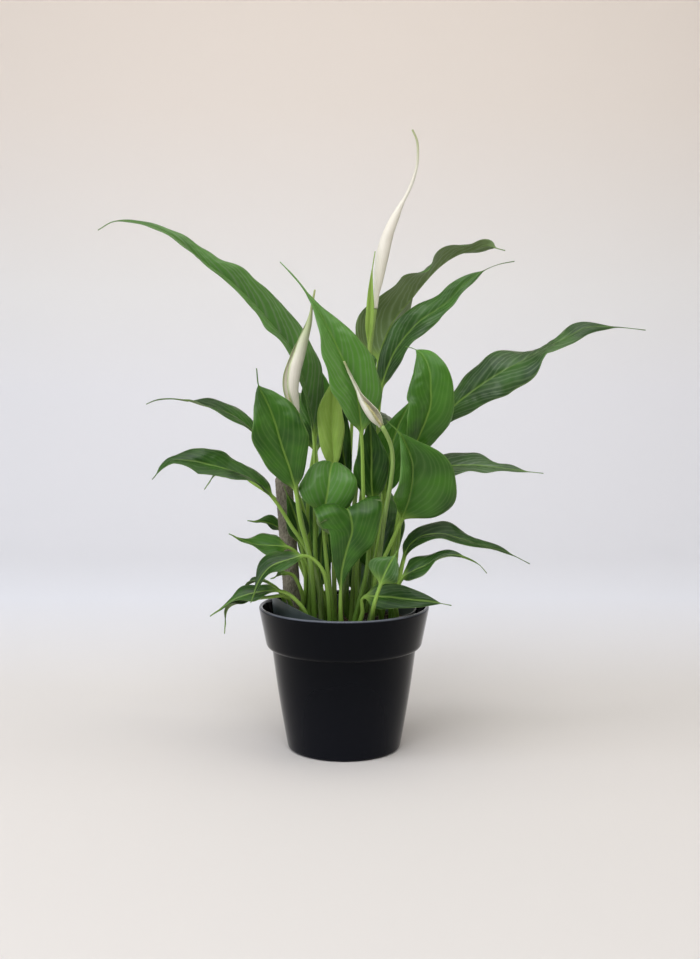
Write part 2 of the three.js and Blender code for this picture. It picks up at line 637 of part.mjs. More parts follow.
    blade: [[27, 46, 146], [30, 52, 174], [33, 64, 202], [35, 88, 220], [37, 122, 216]],
    width: 50, heading: 88, fold: 12, wave: [2, 2, 2],
  },
  back_low: {
    foot: [10, 45], stalk: [[11, 48, 120]],
    blade: [[13, 51, 127], [15, 56, 148], [16, 68, 168], [14, 98, 178], [14, 128, 162]],
    width: 52, heading: 90, fold: 12, wave: [1.5, 2, 0], belly: 0.6,
  },
};

// Each flower's foot, the points of its stem and of its spathe's middle, the roll's widest
// radius, the angle that it is rolled through to each side at base and tip, and its heading.
const flowers = {
  tall: {
    foot: [-4, 4],
    stem: [[4, 8, 168], [14, 5, 267], [22, 3, 346]],
    spathe: [[27, 0, 391], [32, 0, 426], [35, 0, 443], [40, 0, 459], [47, 1, 475], [56, 1, 492],
      [63, 0, 512], [64, -1, 525], [63, -2, 535], [59, -3, 544]],
    radius: 5.1, curl: [2.6, 2.8], heading: 200, belly: 0.85, drip: 0.3,
  },
  left: {
    foot: [-20, -14],
    stem: [[-22, -17, 145], [-30, -21, 176], [-40, -27, 225], [-42, -29, 268]],
    spathe: [[-41, -28, 295], [-45, -29, 309], [-47, -30, 322], [-44, -30, 338],
      [-40, -29, 349], [-35, -28, 363], [-30, -26, 378], [-27, -24, 395], [-25, -22, 406]],
    radius: 7.6, curl: [1.5, 2.3, 2.9, 2.9], heading: 20, belly: 0.54, drip: 0.05,
  },
  front: {
    foot: [22, -22],
    stem: [[26, -22, 137], [35, -25, 208], [40, -27, 238], [42, -29, 259], [40, -32, 274]],
    spathe: [[32, -38, 290], [25, -41, 300], [16, -42, 312], [10, -41, 324], [5, -40, 334],
      [0, -39, 345]],
    radius: 5, curl: [2.3, 2.9], heading: 120, belly: 0.55, drip: 0.3,
  },
};

const plant = new THREE.Group();
const holes = [];
for (const [name, spec] of Object.entries(leaves)) {
  add(plant, `leaf_${name}`, leaf(spec), finish(spec.young ? YOUNG_GREEN : GREEN, 0.45));
  holes.push({ foot: spec.foot, radius: STALK_RADIUS + STEM_CLEARANCE });
}
for (const [name, spec] of Object.entries(flowers)) {
  const { stem, spathe, spadix } = flower(spec);
  add(plant, `flower_${name}_stem`, stem, finish(YOUNG_GREEN, 0.45));
  add(plant, `flower_${name}_spathe`, spathe, finish(CREAM, 0.5));
  add(plant, `flower_${name}_spadix`, spadix, finish(CREAM, 0.8));
  holes.push({ foot: spec.foot, radius: FLOWER_STEM_RADIUS + STEM_CLEARANCE });
}

const lily = new THREE.Group();
add(lily, 'cover_pot', coverPot(), finish(0x08090a, 0.08));
add(lily, 'nursery_pot', nurseryPot(), finish(0x3b4543, 0.5));
add(lily, 'soil', soil(holes), finish(0x2a1d14, 0.95));
add(lily, 'support_pole', bar(POLE_FOOT, POLE_TOP, POLE_RADIUS, POLE_SIDES), finish(0x8d857a, 0.95));
lily.add(plant);

export default lily;
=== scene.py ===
# A potted peace lily: a young clump of lance-shaped leaves and three slender white flowers, with a
# coconut-fibre pole among them, growing in soil in a thin nursery pot that stands inside a glossy
# black cover pot. Sizes are millimetres in the tables and metres in the meshes; the origin is the
# centre of the cover pot's underside, +Z is up and the plant's front faces -Y.
import functools
import math
import bpy
import numpy as np
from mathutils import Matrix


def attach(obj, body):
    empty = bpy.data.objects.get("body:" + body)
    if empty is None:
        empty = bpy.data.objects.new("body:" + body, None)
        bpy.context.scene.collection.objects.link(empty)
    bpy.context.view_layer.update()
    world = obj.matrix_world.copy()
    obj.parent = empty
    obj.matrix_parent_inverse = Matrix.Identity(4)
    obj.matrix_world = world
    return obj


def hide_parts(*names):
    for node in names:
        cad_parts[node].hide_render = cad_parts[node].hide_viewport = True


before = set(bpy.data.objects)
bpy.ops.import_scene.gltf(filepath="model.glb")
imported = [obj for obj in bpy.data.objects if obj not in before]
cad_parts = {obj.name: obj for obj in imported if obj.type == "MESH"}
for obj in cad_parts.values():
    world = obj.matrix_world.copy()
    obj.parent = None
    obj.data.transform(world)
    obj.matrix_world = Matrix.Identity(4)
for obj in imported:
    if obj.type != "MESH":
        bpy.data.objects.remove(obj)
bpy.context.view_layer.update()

# ---- Camera ----
# A lens of 47 mm at a little over a metre, a hand's height above the leaves' middle and tipped
# down five degrees. Its focal length and its shift are pixels of a picture 959 pixels high.
PICTURE_HEIGHT, FOCAL_PIXELS, SHIFT_PIXELS, SENSOR = 959, 1260, 6, 36
eye = bpy.data.cameras.new("camera")
eye.lens = FOCAL_PIXELS / PICTURE_HEIGHT * SENSOR
eye.sensor_width = SENSOR
eye.shift_x = SHIFT_PIXELS / PICTURE_HEIGHT
camera = bpy.data.objects.new("camera", eye)
camera.location = (0, -1.112, 0.341)
camera.rotation_euler = (math.radians(90 - 5.15), 0, 0)
bpy.context.scene.collection.objects.link(camera)
bpy.context.scene.camera = camera
bpy.context.scene.view_settings.view_transform = "Standard"


# ---- Floor and backdrop ----
# One sheet of matt painted board, level where the pot stands and swept up behind it in a wide
# curve, so that no horizon shows. The bend starts 1100 mm behind the pot.
MM = 0.001
BOARD_FRONT, BOARD_HALF_WIDTH, BOARD_TOP = -2600, 3200.0, 3200
BEND_START, BEND_RADIUS = 1100, 900
TINT_RUN = 3.3


def linear(code):
    """The linear colour of an sRGB hex code."""
    parts = [int(code[i:i + 2], 16) / 255 for i in (1, 3, 5)]
    return (*[p / 12.92 if p <= 0.04045 else ((p + 0.055) / 1.055) ** 2.4 for p in parts], 1)


def add_node(material, kind, feeds=None, **settings):
    """Adds a node with its settings. Feeds gives its inputs by name or number: a socket is linked,
    a node gives the first output it has in use, a hex code becomes its colour, and anything else
    is the input's own value."""
    node = material.node_tree.nodes.new("ShaderNode" + kind)
    for name, value in settings.items():
        setattr(node, name, value)
    for name, value in (feeds or {}).items():
        if isinstance(value, bpy.types.Node):
            value = next(socket for socket in value.outputs if socket.enabled)
        if isinstance(value, bpy.types.NodeSocket):
            material.node_tree.links.new(value, node.inputs[name])
        else:
            node.inputs[name].default_value = linear(value) if isinstance(value, str) else value
    return node


def new_material(name):
    """An empty node material, add_node bound to it, and the object's own coordinates in metres."""
    material = bpy.data.materials.new(name)
    material.use_nodes = True
    material.node_tree.nodes.clear()
    node = functools.partial(add_node, material)
    return material, node, node("TexCoord").outputs["Object"]


def finish_material(material, feeds):
    """Closes a material with one glossy-dielectric shader fed by the given inputs."""
    add_node(material, "OutputMaterial", {"Surface": add_node(material, "BsdfPrincipled", feeds)})
    return material


def painted_board():
    """Emulsion on board: flat and pale. Its tint follows the way along it (metres back plus metres
    up): warm grey by the pot, cool white behind, warm white high up."""
    material, node, place = new_material("emulsion_on_board")
    axes = node("SeparateXYZ", {0: place}).outputs
    way = node("Math", {0: axes["Y"], 1: axes["Z"]}, operation="ADD")
    tint = node("ValToRGB", {0: node("MapRange", {0: way, 1: 0.0, 2: TINT_RUN})})
    stops = tint.color_ramp.elements
    stops[0].color = linear("#d9d6d2")
    stops[1].color = linear("#efe4d8")
    for share, code in ((0.06, "#dcdad7"), (0.22, "#e9edf5"), (0.62, "#f0f1f5"),
                        (0.74, "#f2f1ef"), (0.9, "#f0e7dd")):
        stops.new(share).color = linear(code)
    return finish_material(material, {"Base Color": tint, "Roughness": 0.9})


def mesh_object(name, points, faces, material, smooth=True):
    """Makes an object from points in millimetres and faces as lists of point numbers."""
    mesh = bpy.data.meshes.new(name)
    mesh.from_pydata((np.asarray(points).reshape(-1, 3) * MM).tolist(), [], faces)
    if smooth:
        mesh.shade_smooth()
    mesh.materials.append(material)
    thing = bpy.data.objects.new(name, mesh)
    bpy.context.scene.collection.objects.link(thing)
    return thing


def sweep():
    """The backdrop's section carried straight along x: level to the bend, a quarter turn
    (start + r sin a, r - r cos a), then up to the top."""
    turn = np.linspace(0, math.pi / 2, 24)
    y = np.concatenate([[BOARD_FRONT, -1000, 0], BEND_START + BEND_RADIUS * np.sin(turn),
                        [BEND_START + BEND_RADIUS]])
    z = np.concatenate([[0, 0, 0], BEND_RADIUS - BEND_RADIUS * np.cos(turn), [BOARD_TOP]])
    x = np.array([-BOARD_HALF_WIDTH, BOARD_HALF_WIDTH])
    points = np.stack(np.broadcast_arrays(x[None, :], y[:, None], z[:, None]), -1)
    faces = [(2 * i, 2 * i + 1, 2 * i + 3, 2 * i + 2) for i in range(len(y) - 1)]
    return points.reshape(-1, 3), faces


board = mesh_object("backdrop", *sweep(), painted_board())


# ---- Light ----
# A large soft window from the left front, a skylight high in front, a broad weaker window from
# the right, a ceiling bounce above, and a dim room behind the camera, which keeps the black
# glaze black from the front.
def soft_light(name, place, aim, size, power, tint):
    """A rectangular lamp of the given size at place, turned to face aim."""
    lamp = bpy.data.lights.new(name, "AREA")
    lamp.shape = "RECTANGLE"
    lamp.size, lamp.size_y = size
    lamp.energy = power
    lamp.color = linear(tint)[:3]
    holder = bpy.data.objects.new(name, lamp)
    away = np.array(aim, float) - np.array(place, float)
    yaw = math.atan2(away[0], -away[1])
    pitch = math.atan2(math.hypot(away[0], away[1]), -away[2])
    holder.location = place
    holder.rotation_euler = (pitch, 0, yaw + math.pi)
    bpy.context.scene.collection.objects.link(holder)


soft_light("window_left", (-2.1, -0.9, 1.3), (0, 0, 0.3), (1.5, 1.5), 26, "#f4f6ff")
soft_light("skylight_front", (-0.3, -1.7, 2.0), (0, 0, 0.35), (1.8, 1.2), 34, "#fbfbff")
soft_light("fill_right", (2.2, -0.5, 1.1), (0, 0, 0.3), (2.0, 2.0), 11, "#fff6ec")
soft_light("ceiling", (0, -0.1, 2.4), (0, 0.3, 0), (2.4, 2.0), 30, "#fffaf4")
room = bpy.data.worlds.new("room")
room.use_nodes = True
room.node_tree.nodes["Background"].inputs[0].default_value = linear("#dfe4ee")
room.node_tree.nodes["Background"].inputs[1].default_value = 0.12
bpy.context.scene.world = room


# ---- Cover pot ----
# Slip-cast earthenware under a jet-black gloss glaze, turned true: a tapered body and a wide
# collar that steps out below the lip. Its profile is the wall's outline, rounded at each corner.
POT_SIDES, CORNER_POINTS = 192, 7
POT_PROFILE = [
    [48, 0, 0.6], [50.4, 1, 1.2], [51, 3.5, 2], [58.35, 45.5, 40], [64.5, 91, 0.8],
    [67.5, 91.6, 1], [69.5, 94, 2], [76, 126.9, 1.6], [75.3, 128.2, 1], [74, 128.5, 1],
    [72.6, 127.9, 1], [72, 126, 2], [65.5, 97, 4], [60.5, 88, 6], [47, 9, 3], [44, 5, 1.5],
]


def rounded(profile):
    """Each corner of an open outline of [radius, height, rounding] is cut back by its rounding
    and bridged by a quadratic curve: (1-u)^2 a + 2u(1-u) corner + u^2 b."""
    corners = np.array(profile, float)
    spots = corners[:, :2]
    before = np.vstack([spots[0], spots[:-1]])
    after = np.vstack([spots[1:], spots[-1]])
    def cut(other):
        gap = other - spots
        reach = np.linalg.norm(gap, axis=1, keepdims=True)
        share = np.minimum(corners[:, 2:] / np.maximum(reach, 1e-9), 0.45)
        return spots + gap * share
    u = np.linspace(0, 1, CORNER_POINTS)[None, :, None]
    start, end, corner = cut(before)[:, None], cut(after)[:, None], spots[:, None]
    return ((1 - u) ** 2 * start + 2 * u * (1 - u) * corner + u ** 2 * end).reshape(-1, 2)


def skin(rings):
    """Closed skin over an array of rings (count, corners, 3): four-sided faces between
    neighbouring rings, and one face over each end."""
    count, size = rings.shape[:2]
    i, k = np.meshgrid(np.arange(count - 1), np.arange(size), indexing="ij")
    a = (i * size + k).ravel()
    b = (i * size + (k + 1) % size).ravel()
    faces = np.stack([a, b, b + size, a + size], 1).tolist()
    return faces + [list(range(size - 1, -1, -1)), list(range((count - 1) * size, count * size))]


def turned(profile, sides):
    """A profile of (radius, height) turned round Z: (r cos a, r sin a, z)."""
    angle = np.linspace(0, 2 * math.pi, sides, endpoint=False)
    r, z = profile[:, :1], profile[:, 1:]
    return np.stack([r * np.cos(angle), r * np.sin(angle), z + 0 * angle], -1)


def black_glaze():
    """Gloss glaze over earthenware: near-black and smooth, with the faint long swell that a poured
    glaze keeps (waves of 25 mm) and a little dulling where dust lies. Its colour greys towards
    the foot, a painted reflection of the pale floor, and a grey line along the lip's edge is a
    painted highlight."""
    material, node, place = new_material("black_gloss_glaze")
    swell = node("TexNoise", {"Vector": place, "Scale": 40.0, "Detail": 1.0})
    dust = node("TexNoise", {"Vector": place, "Scale": 420.0, "Detail": 4.0})
    height = node("SeparateXYZ", {0: place}).outputs["Z"]
    # Painted reflection: the glaze is greyer towards the foot, where the pale floor would show in
    # it.
    foot = node("MapRange", {0: height, 1: 0.08, 2: 0.0})
    # Painted highlight: a grey line along the lip's edge.
    lip_highlight = node("MapRange", {0: height, 1: 0.1268, 2: 0.1279, 4: 0.8})
    tint = "#040506"
    for weight, code in ((swell, "#07080b"), (foot, "#121318"), (lip_highlight, "#6f747e")):
        tint = node("Mix", {0: weight, 6: tint, 7: code}, data_type="RGBA")
    return finish_material(material, {
        "Base Color": tint, "Specular Tint": "#d4dcf0", "IOR": 1.23,
        "Roughness": node("MapRange", {0: dust, 1: 0.35, 2: 0.75, 3: 0.02, 4: 0.05}),
        "Normal": node("Bump", {"Strength": 0.12, "Distance": 0.0006, "Height": swell})})


pot_rings = turned(rounded(POT_PROFILE), POT_SIDES)
cover_pot = mesh_object("glazed_cover_pot", pot_rings, skin(pot_rings), black_glaze())
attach(cover_pot, "root")
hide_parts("cover_pot")


# ---- Nursery pot ----
# Thin blow-moulded polypropylene in grey-green, a little out of round at the rim where the root
# ball lifts it at the left front, with five drain holes punched in its floor.
NURSERY_FLOOR, NURSERY_RIM, SOIL_TOP = 5.3, 126, 114
NURSERY_FOOT_RADIUS, NURSERY_RIM_RADIUS, NURSERY_WALL, NURSERY_SIDES = 42, 64.5, 1.2, 144
RIM_LIFT, RIM_LIFT_AT, RIM_LIFT_SPREAD, RIM_LIFT_FULLNESS, RIM_RINGS = 13, 202, 57, 0.7, 9
DRAIN_HOLES, DRAIN_CIRCLE, DRAIN_RADIUS, DRAIN_SIDES = 5, 27, 4.0, 24


def rim_lift(angle):
    """How far the soft rim stands up: a raised cosine, to the power of its fullness, that is
    highest at 202 degrees and falls to nothing 57 degrees to each side."""
    away = np.abs((angle - math.radians(RIM_LIFT_AT) + math.pi) % (2 * math.pi) - math.pi)
    share = np.minimum(away / math.radians(RIM_LIFT_SPREAD), 1)
    lift = RIM_LIFT * (0.5 + 0.5 * np.cos(math.pi * share)) ** RIM_LIFT_FULLNESS
    return np.where(share < 1, lift, 0)


def nursery_shell():
    """The pot's wall turned round Z; above the soil's height the rings rise by rim_lift in
    proportion to how near the rim they are."""
    foot, rim, wall, low = NURSERY_FOOT_RADIUS, NURSERY_RIM_RADIUS, NURSERY_WALL, NURSERY_FLOOR
    high = SOIL_TOP + 1
    knee = foot + (rim - foot) * ((high - low) / (NURSERY_RIM - low))
    up = np.linspace(0, 1, RIM_RINGS)
    outer = np.stack([knee + (rim - knee) * up, high + (NURSERY_RIM - high) * up], 1)
    profile = np.vstack([
        [[20, low], [foot - 1, low], [foot, low + 1]], outer, (outer - [wall, 0])[::-1],
        [[foot - wall, low + wall + 1], [foot - wall - 1, low + wall], [20, low + wall]]])
    rings = turned(profile, NURSERY_SIDES)
    share = np.clip((rings[..., 2] - high) / (NURSERY_RIM - high), 0, 1)
    rings[..., 2] += share * rim_lift(np.arctan2(rings[..., 1], rings[..., 0]))
    return rings


def drain_cutter():
    """Five short upright bars, evenly spaced on a circle and joined in one mesh."""
    points, faces = [], []
    for turn in np.arange(DRAIN_HOLES) * 2 * math.pi / DRAIN_HOLES:
        bar = turned(np.array([[DRAIN_RADIUS, 0.0], [DRAIN_RADIUS, 12.0]]), DRAIN_SIDES)
        bar = bar + [DRAIN_CIRCLE * math.cos(turn), DRAIN_CIRCLE * math.sin(turn), 0]
        faces += [[v + 2 * DRAIN_SIDES * len(points) for v in face] for face in skin(bar)]
        points.append(bar.reshape(-1, 3))
    return np.vstack(points), faces


def moulded_plastic():
    """Recycled polypropylene, blow-moulded: satin grey-green with faint flow streaks 6 mm wide
    down it and a fine grain of about half a millimetre."""
    material, node, place = new_material("grey_green_polypropylene")
    streaks = node("Mapping", {"Vector": place, "Scale": (1, 1, 0.12)})
    flow = node("TexNoise", {"Vector": streaks, "Scale": 160.0, "Detail": 3.0})
    grain = node("TexNoise", {"Vector": place, "Scale": 1900.0, "Detail": 2.0})
    tint = node("Mix", {0: flow, 6: "#333d3b", 7: "#4a5553"}, data_type="RGBA")
    bump = node("Bump", {"Strength": 0.2, "Distance": 0.0002, "Height": grain})
    return finish_material(material, {"Base Color": tint, "Roughness": 0.48, "Normal": bump})


nursery_rings = nursery_shell()
nursery_pot = mesh_object("moulded_nursery_pot", nursery_rings, skin(nursery_rings),
                          moulded_plastic())
cutter = mesh_object("drain_cutter", *drain_cutter(), nursery_pot.data.materials[0])
holes = nursery_pot.modifiers.new("drain_holes", "BOOLEAN")
holes.object = cutter
holes.solver = "EXACT"
graph = bpy.context.evaluated_depsgraph_get()
cut_mesh = bpy.data.meshes.new_from_object(nursery_pot.evaluated_get(graph))
nursery_pot.modifiers.clear()
nursery_pot.data = cut_mesh
bpy.data.objects.remove(cutter)
nursery_pot.data.set_sharp_from_angle(angle=math.radians(40))
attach(nursery_pot, "root")
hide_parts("nursery_pot")


# ---- Soil ----
# Dark potting mix of peat and bark fines, watered and settled, so its top is lumpy; crumbs and
# slivers of bark lie loose on it.
SOIL_SIDES, SOIL_WALL_RINGS, SOIL_TOP_RINGS, LUMP_SPREAD, LUMP_SEED = 200, 12, 76, 62, 7
CRUMB_COUNT, CRUMB_SEED, CRUMB_SPREAD, CRUMB_LIFT = 900, 11, 58, 0.35


def lumps(x, y, draw, count, low, high, tall):
    """Sum of round swellings of radius low to high at random places: tall exp(-(d/size)^2)."""
    total = np.zeros_like(x)
    for _ in range(count):
        turn, reach = draw.uniform(0, 2 * math.pi), LUMP_SPREAD * math.sqrt(draw.uniform())
        size = draw.uniform(low, high)
        away = (x - reach * math.cos(turn)) ** 2 + (y - reach * math.sin(turn)) ** 2
        total += draw.uniform(-1, 1) * tall * np.exp(-away / size ** 2)
    return total


def soil_top(x, y):
    """Height of the soil at a point: broad lumps of 9 to 16 mm and small ones of 2 to 4 mm."""
    draw = np.random.default_rng(LUMP_SEED)
    return SOIL_TOP - 0.8 + lumps(x, y, draw, 40, 9, 16, 1.3) + lumps(x, y, draw, 420, 2, 4, 0.8)


def soil_body():
    """Rings from the underside up the wall and then inwards over the top, whose heights follow
    soil_top and are held 1.5 mm over the level top at most."""
    foot, rim, low = NURSERY_FOOT_RADIUS, NURSERY_RIM_RADIUS, NURSERY_FLOOR
    def wall(z):
        return foot + (rim - foot) * (z - low) / (NURSERY_RIM - low) - (NURSERY_WALL + 0.5)
    heights = np.linspace(NURSERY_FLOOR + 1.5, SOIL_TOP - 1, SOIL_WALL_RINGS)
    side = np.stack([wall(heights), heights], 1)
    top = np.stack([np.linspace(wall(SOIL_TOP), 0.6, SOIL_TOP_RINGS),
                    np.full(SOIL_TOP_RINGS, float(SOIL_TOP))], 1)
    rings = turned(np.vstack([side, top]), SOIL_SIDES)
    over = rings[SOIL_WALL_RINGS:]
    over[..., 2] = np.minimum(soil_top(over[..., 0], over[..., 1]), SOIL_TOP + 1.5)
    return rings


def crumbs(count, seed):
    """Eight-cornered crumbs: a box's corners pushed about, stretched, tipped and turned about Z,
    and dropped on the soil's top at random places."""
    draw = np.random.default_rng(seed)
    cube = np.array([[x, y, z] for x in (-1, 1) for y in (-1, 1) for z in (-1, 1)], float)
    sides = np.array([[0, 1, 3, 2], [4, 6, 7, 5], [0, 4, 5, 1],
                      [2, 3, 7, 6], [0, 2, 6, 4], [1, 5, 7, 3]])
    size = draw.uniform([0.4, 0.3, 0.25], [2.6, 1.2, 0.8], (count, 3))
    corners = cube[None] * size[:, None] * draw.uniform(0.6, 1.1, (count, 8, 3))
    def turn_by(angle, a, b):
        c, s = np.cos(angle)[:, None], np.sin(angle)[:, None]
        return a * c - b * s, a * s + b * c
    turn = draw.uniform(0, 2 * math.pi, count)
    x, z = turn_by(draw.uniform(-0.5, 0.5, count), corners[..., 0], corners[..., 2])
    x, y = turn_by(turn, x, corners[..., 1])
    reach = CRUMB_SPREAD * np.sqrt(draw.uniform(0, 1, count))
    spin = draw.uniform(0, 2 * math.pi, count)
    px, py = reach * np.cos(spin), reach * np.sin(spin)
    base = soil_top(px, py) + CRUMB_LIFT
    out = np.stack([x + px[:, None], y + py[:, None], z + base[:, None]], -1)
    faces = (sides[None] + 8 * np.arange(count)[:, None, None]).reshape(-1, 4).tolist()
    return out.reshape(-1, 3), faces


def potting_mix(name, dark, light):
    """Peat and bark: matt near-black brown, speckled with paler fibre at 1 and 4 mm."""
    material, node, place = new_material(name)
    fine = node("TexNoise", {"Vector": place, "Scale": 1000.0, "Detail": 5.0})
    coarse = node("TexVoronoi", {"Vector": place, "Scale": 260.0}).outputs["Color"]
    speck = node("MapRange", {0: fine, 1: 0.42, 2: 0.68})
    tint = node("Mix", {0: speck, 6: dark, 7: light}, data_type="RGBA")
    shade = node("Mix", {0: 0.45, 6: tint, 7: coarse}, data_type="RGBA", blend_type="MULTIPLY")
    bump = node("Bump", {"Strength": 0.8, "Distance": 0.0008, "Height": fine})
    return finish_material(material, {"Base Color": shade, "Roughness": 0.95, "Normal": bump})


soil_rings = soil_body()
soil = mesh_object("potting_soil", soil_rings, skin(soil_rings),
                   potting_mix("peat_potting_mix", "#1d1510", "#4a3a2b"))
loose = mesh_object("bark_crumbs", *crumbs(CRUMB_COUNT, CRUMB_SEED),
                    potting_mix("composted_bark", "#2b1d13", "#6b5340"), smooth=False)
for piece in (soil, loose):
    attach(piece, "root")
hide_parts("soil")


# ---- Support pole ----
# A stake wrapped in coconut fibre, faded to grey-beige; the fibres cross each other round it and
# stand a little proud. It leans to the left behind the stems.
POLE_FOOT, POLE_TOP = np.array([-44.0, 12.0, 92.0]), np.array([-54.5, 18.0, 242.0])
POLE_RADIUS, FIBRE_SEED = 8.0, 23
POLE_RINGS, POLE_SIDES, FIBRES, FIBRE_HEIGHT, FUZZ, END_ROUNDING = 330, 110, 34, 1.3, 0.25, 1.5


def wrapped_pole():
    """Rings square to the pole's axis. Each fibre is a ridge |cos(k a + m h + p)|^14 that winds
    round, faded by a slower cosine, and the highest one counts at each point. The radius is the
    pole's, less the fibre's height where no ridge stands."""
    draw = np.random.default_rng(FIBRE_SEED)
    axis = POLE_TOP - POLE_FOOT
    length = np.linalg.norm(axis)
    axis /= length
    right = np.cross([0, 1, 0], axis)
    right /= np.linalg.norm(right)
    back = np.cross(axis, right)
    along = np.linspace(0, length, POLE_RINGS)[:, None]
    angle = np.linspace(0, 2 * math.pi, POLE_SIDES, endpoint=False)[None, :]
    ridge = np.zeros((POLE_RINGS, POLE_SIDES))
    for _ in range(FIBRES):
        k, m = draw.integers(1, 7), draw.uniform(-0.45, 0.45)
        slow = draw.uniform(0.01, 0.06) * along + angle * draw.integers(1, 4) + draw.uniform(0, 7)
        fibre = np.abs(np.cos(k * angle + m * along + draw.uniform(0, 7))) ** 14
        ridge = np.maximum(ridge, fibre * (0.5 + 0.5 * np.cos(slow)))
    radius = POLE_RADIUS - FIBRE_HEIGHT * (1 - ridge) - FUZZ * draw.uniform(0, 1, ridge.shape)
    radius = radius - END_ROUNDING * np.exp(-np.minimum(along, length - along) / 1.2)
    ring = radius[..., None] * (np.cos(angle)[..., None] * right + np.sin(angle)[..., None] * back)
    return POLE_FOOT + along[..., None] * axis + ring


def coconut_fibre():
    """Coir, retted and spun: matt, grey-beige with brown in the hollows, in strands of 0.7 mm."""
    material, node, place = new_material("weathered_coir")
    strands = node("Mapping", {"Vector": place, "Scale": (1, 1, 0.25), "Rotation": (0.3, 0.5, 0)})
    fine = node("TexNoise", {"Vector": strands, "Scale": 1500.0, "Detail": 4.0})
    patch = node("TexNoise", {"Vector": place, "Scale": 110.0, "Detail": 3.0})
    tint = node("Mix", {0: patch, 6: "#6f6a5c", 7: "#aaa592"}, data_type="RGBA")
    hollow = node("MapRange", {0: fine, 1: 0.35, 2: 0.6, 3: 0.35, 4: 1.0})
    shade = node("Mix", {0: hollow, 6: "#574c40", 7: tint}, data_type="RGBA")
    bump = node("Bump", {"Strength": 0.9, "Distance": 0.0006, "Height": fine})
    return finish_material(material, {"Base Color": shade, "Roughness": 0.95, "Normal": bump})


pole_rings = wrapped_pole()
pole = mesh_object("coir_pole", pole_rings, skin(pole_rings), coconut_fibre())
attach(pole, "root")
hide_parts("support_pole")


# ---- Leaves ----
# Each leaf is one growth: a round grooved stalk that rises from the soil and a thin lance-shaped
# blade. The blade is folded a little along its midrib, waved at its edges, dished between the
# veins that arch from the midrib towards the tip, and ribbed below.
STALK_RADIUS, STALK_END_RADIUS, STEM_DEPTH, GROOVE_DEPTH = 2.3, 1.5, 16, 0.35
BLADE_THICKNESS, TIP_HALF_WIDTH, RIB_DEPTH, MIDRIB_DEPTH, DOME = 0.8, 0.5, 1.2, 0.45, 0.12
VEIN_SPACING, VEIN_LEAN, VEIN_LEAN_SHARE, QUILT_DEPTH, JOIN_LENGTH = 13.0, 32, 0.8, 0.65, 14
CURL_LENGTH, CURL_SHARE, MARGIN_LENGTH, MARGIN_SHARE, EDGE_LAG = 26, 0.012, 34, 0.05, 1.6
SWELL_DEPTH, SWELL_VEINS, EDGE_SWELL_DEPTH, EDGE_SWELL_LENGTH = 0.9, 2.3, 0.8, 52
RING_SPACING, STALK_RING_SPACING, LEAF_COLUMNS, PATH_STEPS, CROWDING = 1.8, 5, 19, 60, 1.4
TAPER, LEAF_SEED = 1.25, 100


def stem_line(points):
    """A stem's smooth path through its points, and the share of its length at each of them. Each
    span is a cubic, (2u^3-3u^2+1) a + (-2u^3+3u^2) b + (u^3-2u^2+u) ta + (u^3-u^2) tb, whose end
    tangents come from the square roots of the neighbouring spans (a centripetal curve)."""
    p = np.array(points, float)
    p = np.vstack([2 * p[0] - p[1], p, 2 * p[-1] - p[-2]])
    gap = np.sqrt(np.linalg.norm(np.diff(p, axis=0), axis=1))[:, None]
    slope = np.diff(p, axis=0) / gap
    skew = (p[2:] - p[:-2]) / (gap[1:] + gap[:-1])
    tangent = slope[:-1] - skew + slope[1:]
    a, b = p[1:-2, None], p[2:-1, None]
    ta, tb = (tangent[:-1] * gap[1:-1])[:, None], (tangent[1:] * gap[1:-1])[:, None]
    u = np.linspace(0, 1, PATH_STEPS, endpoint=False)[None, :, None]
    dense = ((2 * u ** 3 - 3 * u ** 2 + 1) * a + (3 * u ** 2 - 2 * u ** 3) * b
             + (u ** 3 - 2 * u ** 2 + u) * ta + (u ** 3 - u ** 2) * tb).reshape(-1, 3)
    dense = np.vstack([dense, p[-2]])
    reach = np.concatenate([[0], np.cumsum(np.linalg.norm(np.diff(dense, axis=0), axis=1))])
    return dense, reach, reach[::PATH_STEPS] / reach[-1]


def frames(dense, reach, shares, heading, roll):
    """Place, right side and upper face at each share of a path. The level direction square to
    the heading is made square to the path and then turned about it by the roll."""
    at = shares * reach[-1]
    def pick(values):
        return np.stack([np.interp(at, reach, values[:, i]) for i in range(3)], 1)
    def unit(values):
        return values / np.linalg.norm(values, axis=1, keepdims=True)
    tangent = unit(pick(np.gradient(dense, reach, axis=0)))
    level = np.array([math.sin(heading), -math.cos(heading), 0])
    side = unit(level - (tangent @ level)[:, None] * tangent)
    face = np.cross(side, tangent)
    turn = np.broadcast_to(roll, shares.shape)[:, None]
    return (pick(dense), side * np.cos(turn) + face * np.sin(turn),
            face * np.cos(turn) - side * np.sin(turn))


def lance(t, belly, drip, taper=TAPER):
    """Half-width of a blade as a share of its widest: sin(pi u^belly)^taper, with u = t / (1 -
    drip) and at most 1, so that the last drip of it is a thin tip."""
    u = np.minimum(1, t / (1 - drip))
    return np.maximum(np.sin(math.pi * u ** belly), 0) ** taper


def columns(count):
    """Positions across a leaf from -1 to 1, closer together at the midrib: sign(v) |v|^1.4, over
    the upper face and back under it, with 1 for over and -1 for under."""
    v = np.linspace(-1, 1, count)
    s = np.sign(v) * np.abs(v) ** CROWDING
    return np.concatenate([s, s[::-1]]), np.repeat([1.0, -1.0], count)


def round_section(radius, s, over):
    """A stalk's section: a circle, (r cos a, r sin a) with a = pi (0.5 - 0.44 s), flipped below."""
    turn = math.pi * (0.5 - 0.44 * s) * over
    return radius * np.cos(turn), radius * np.sin(turn)


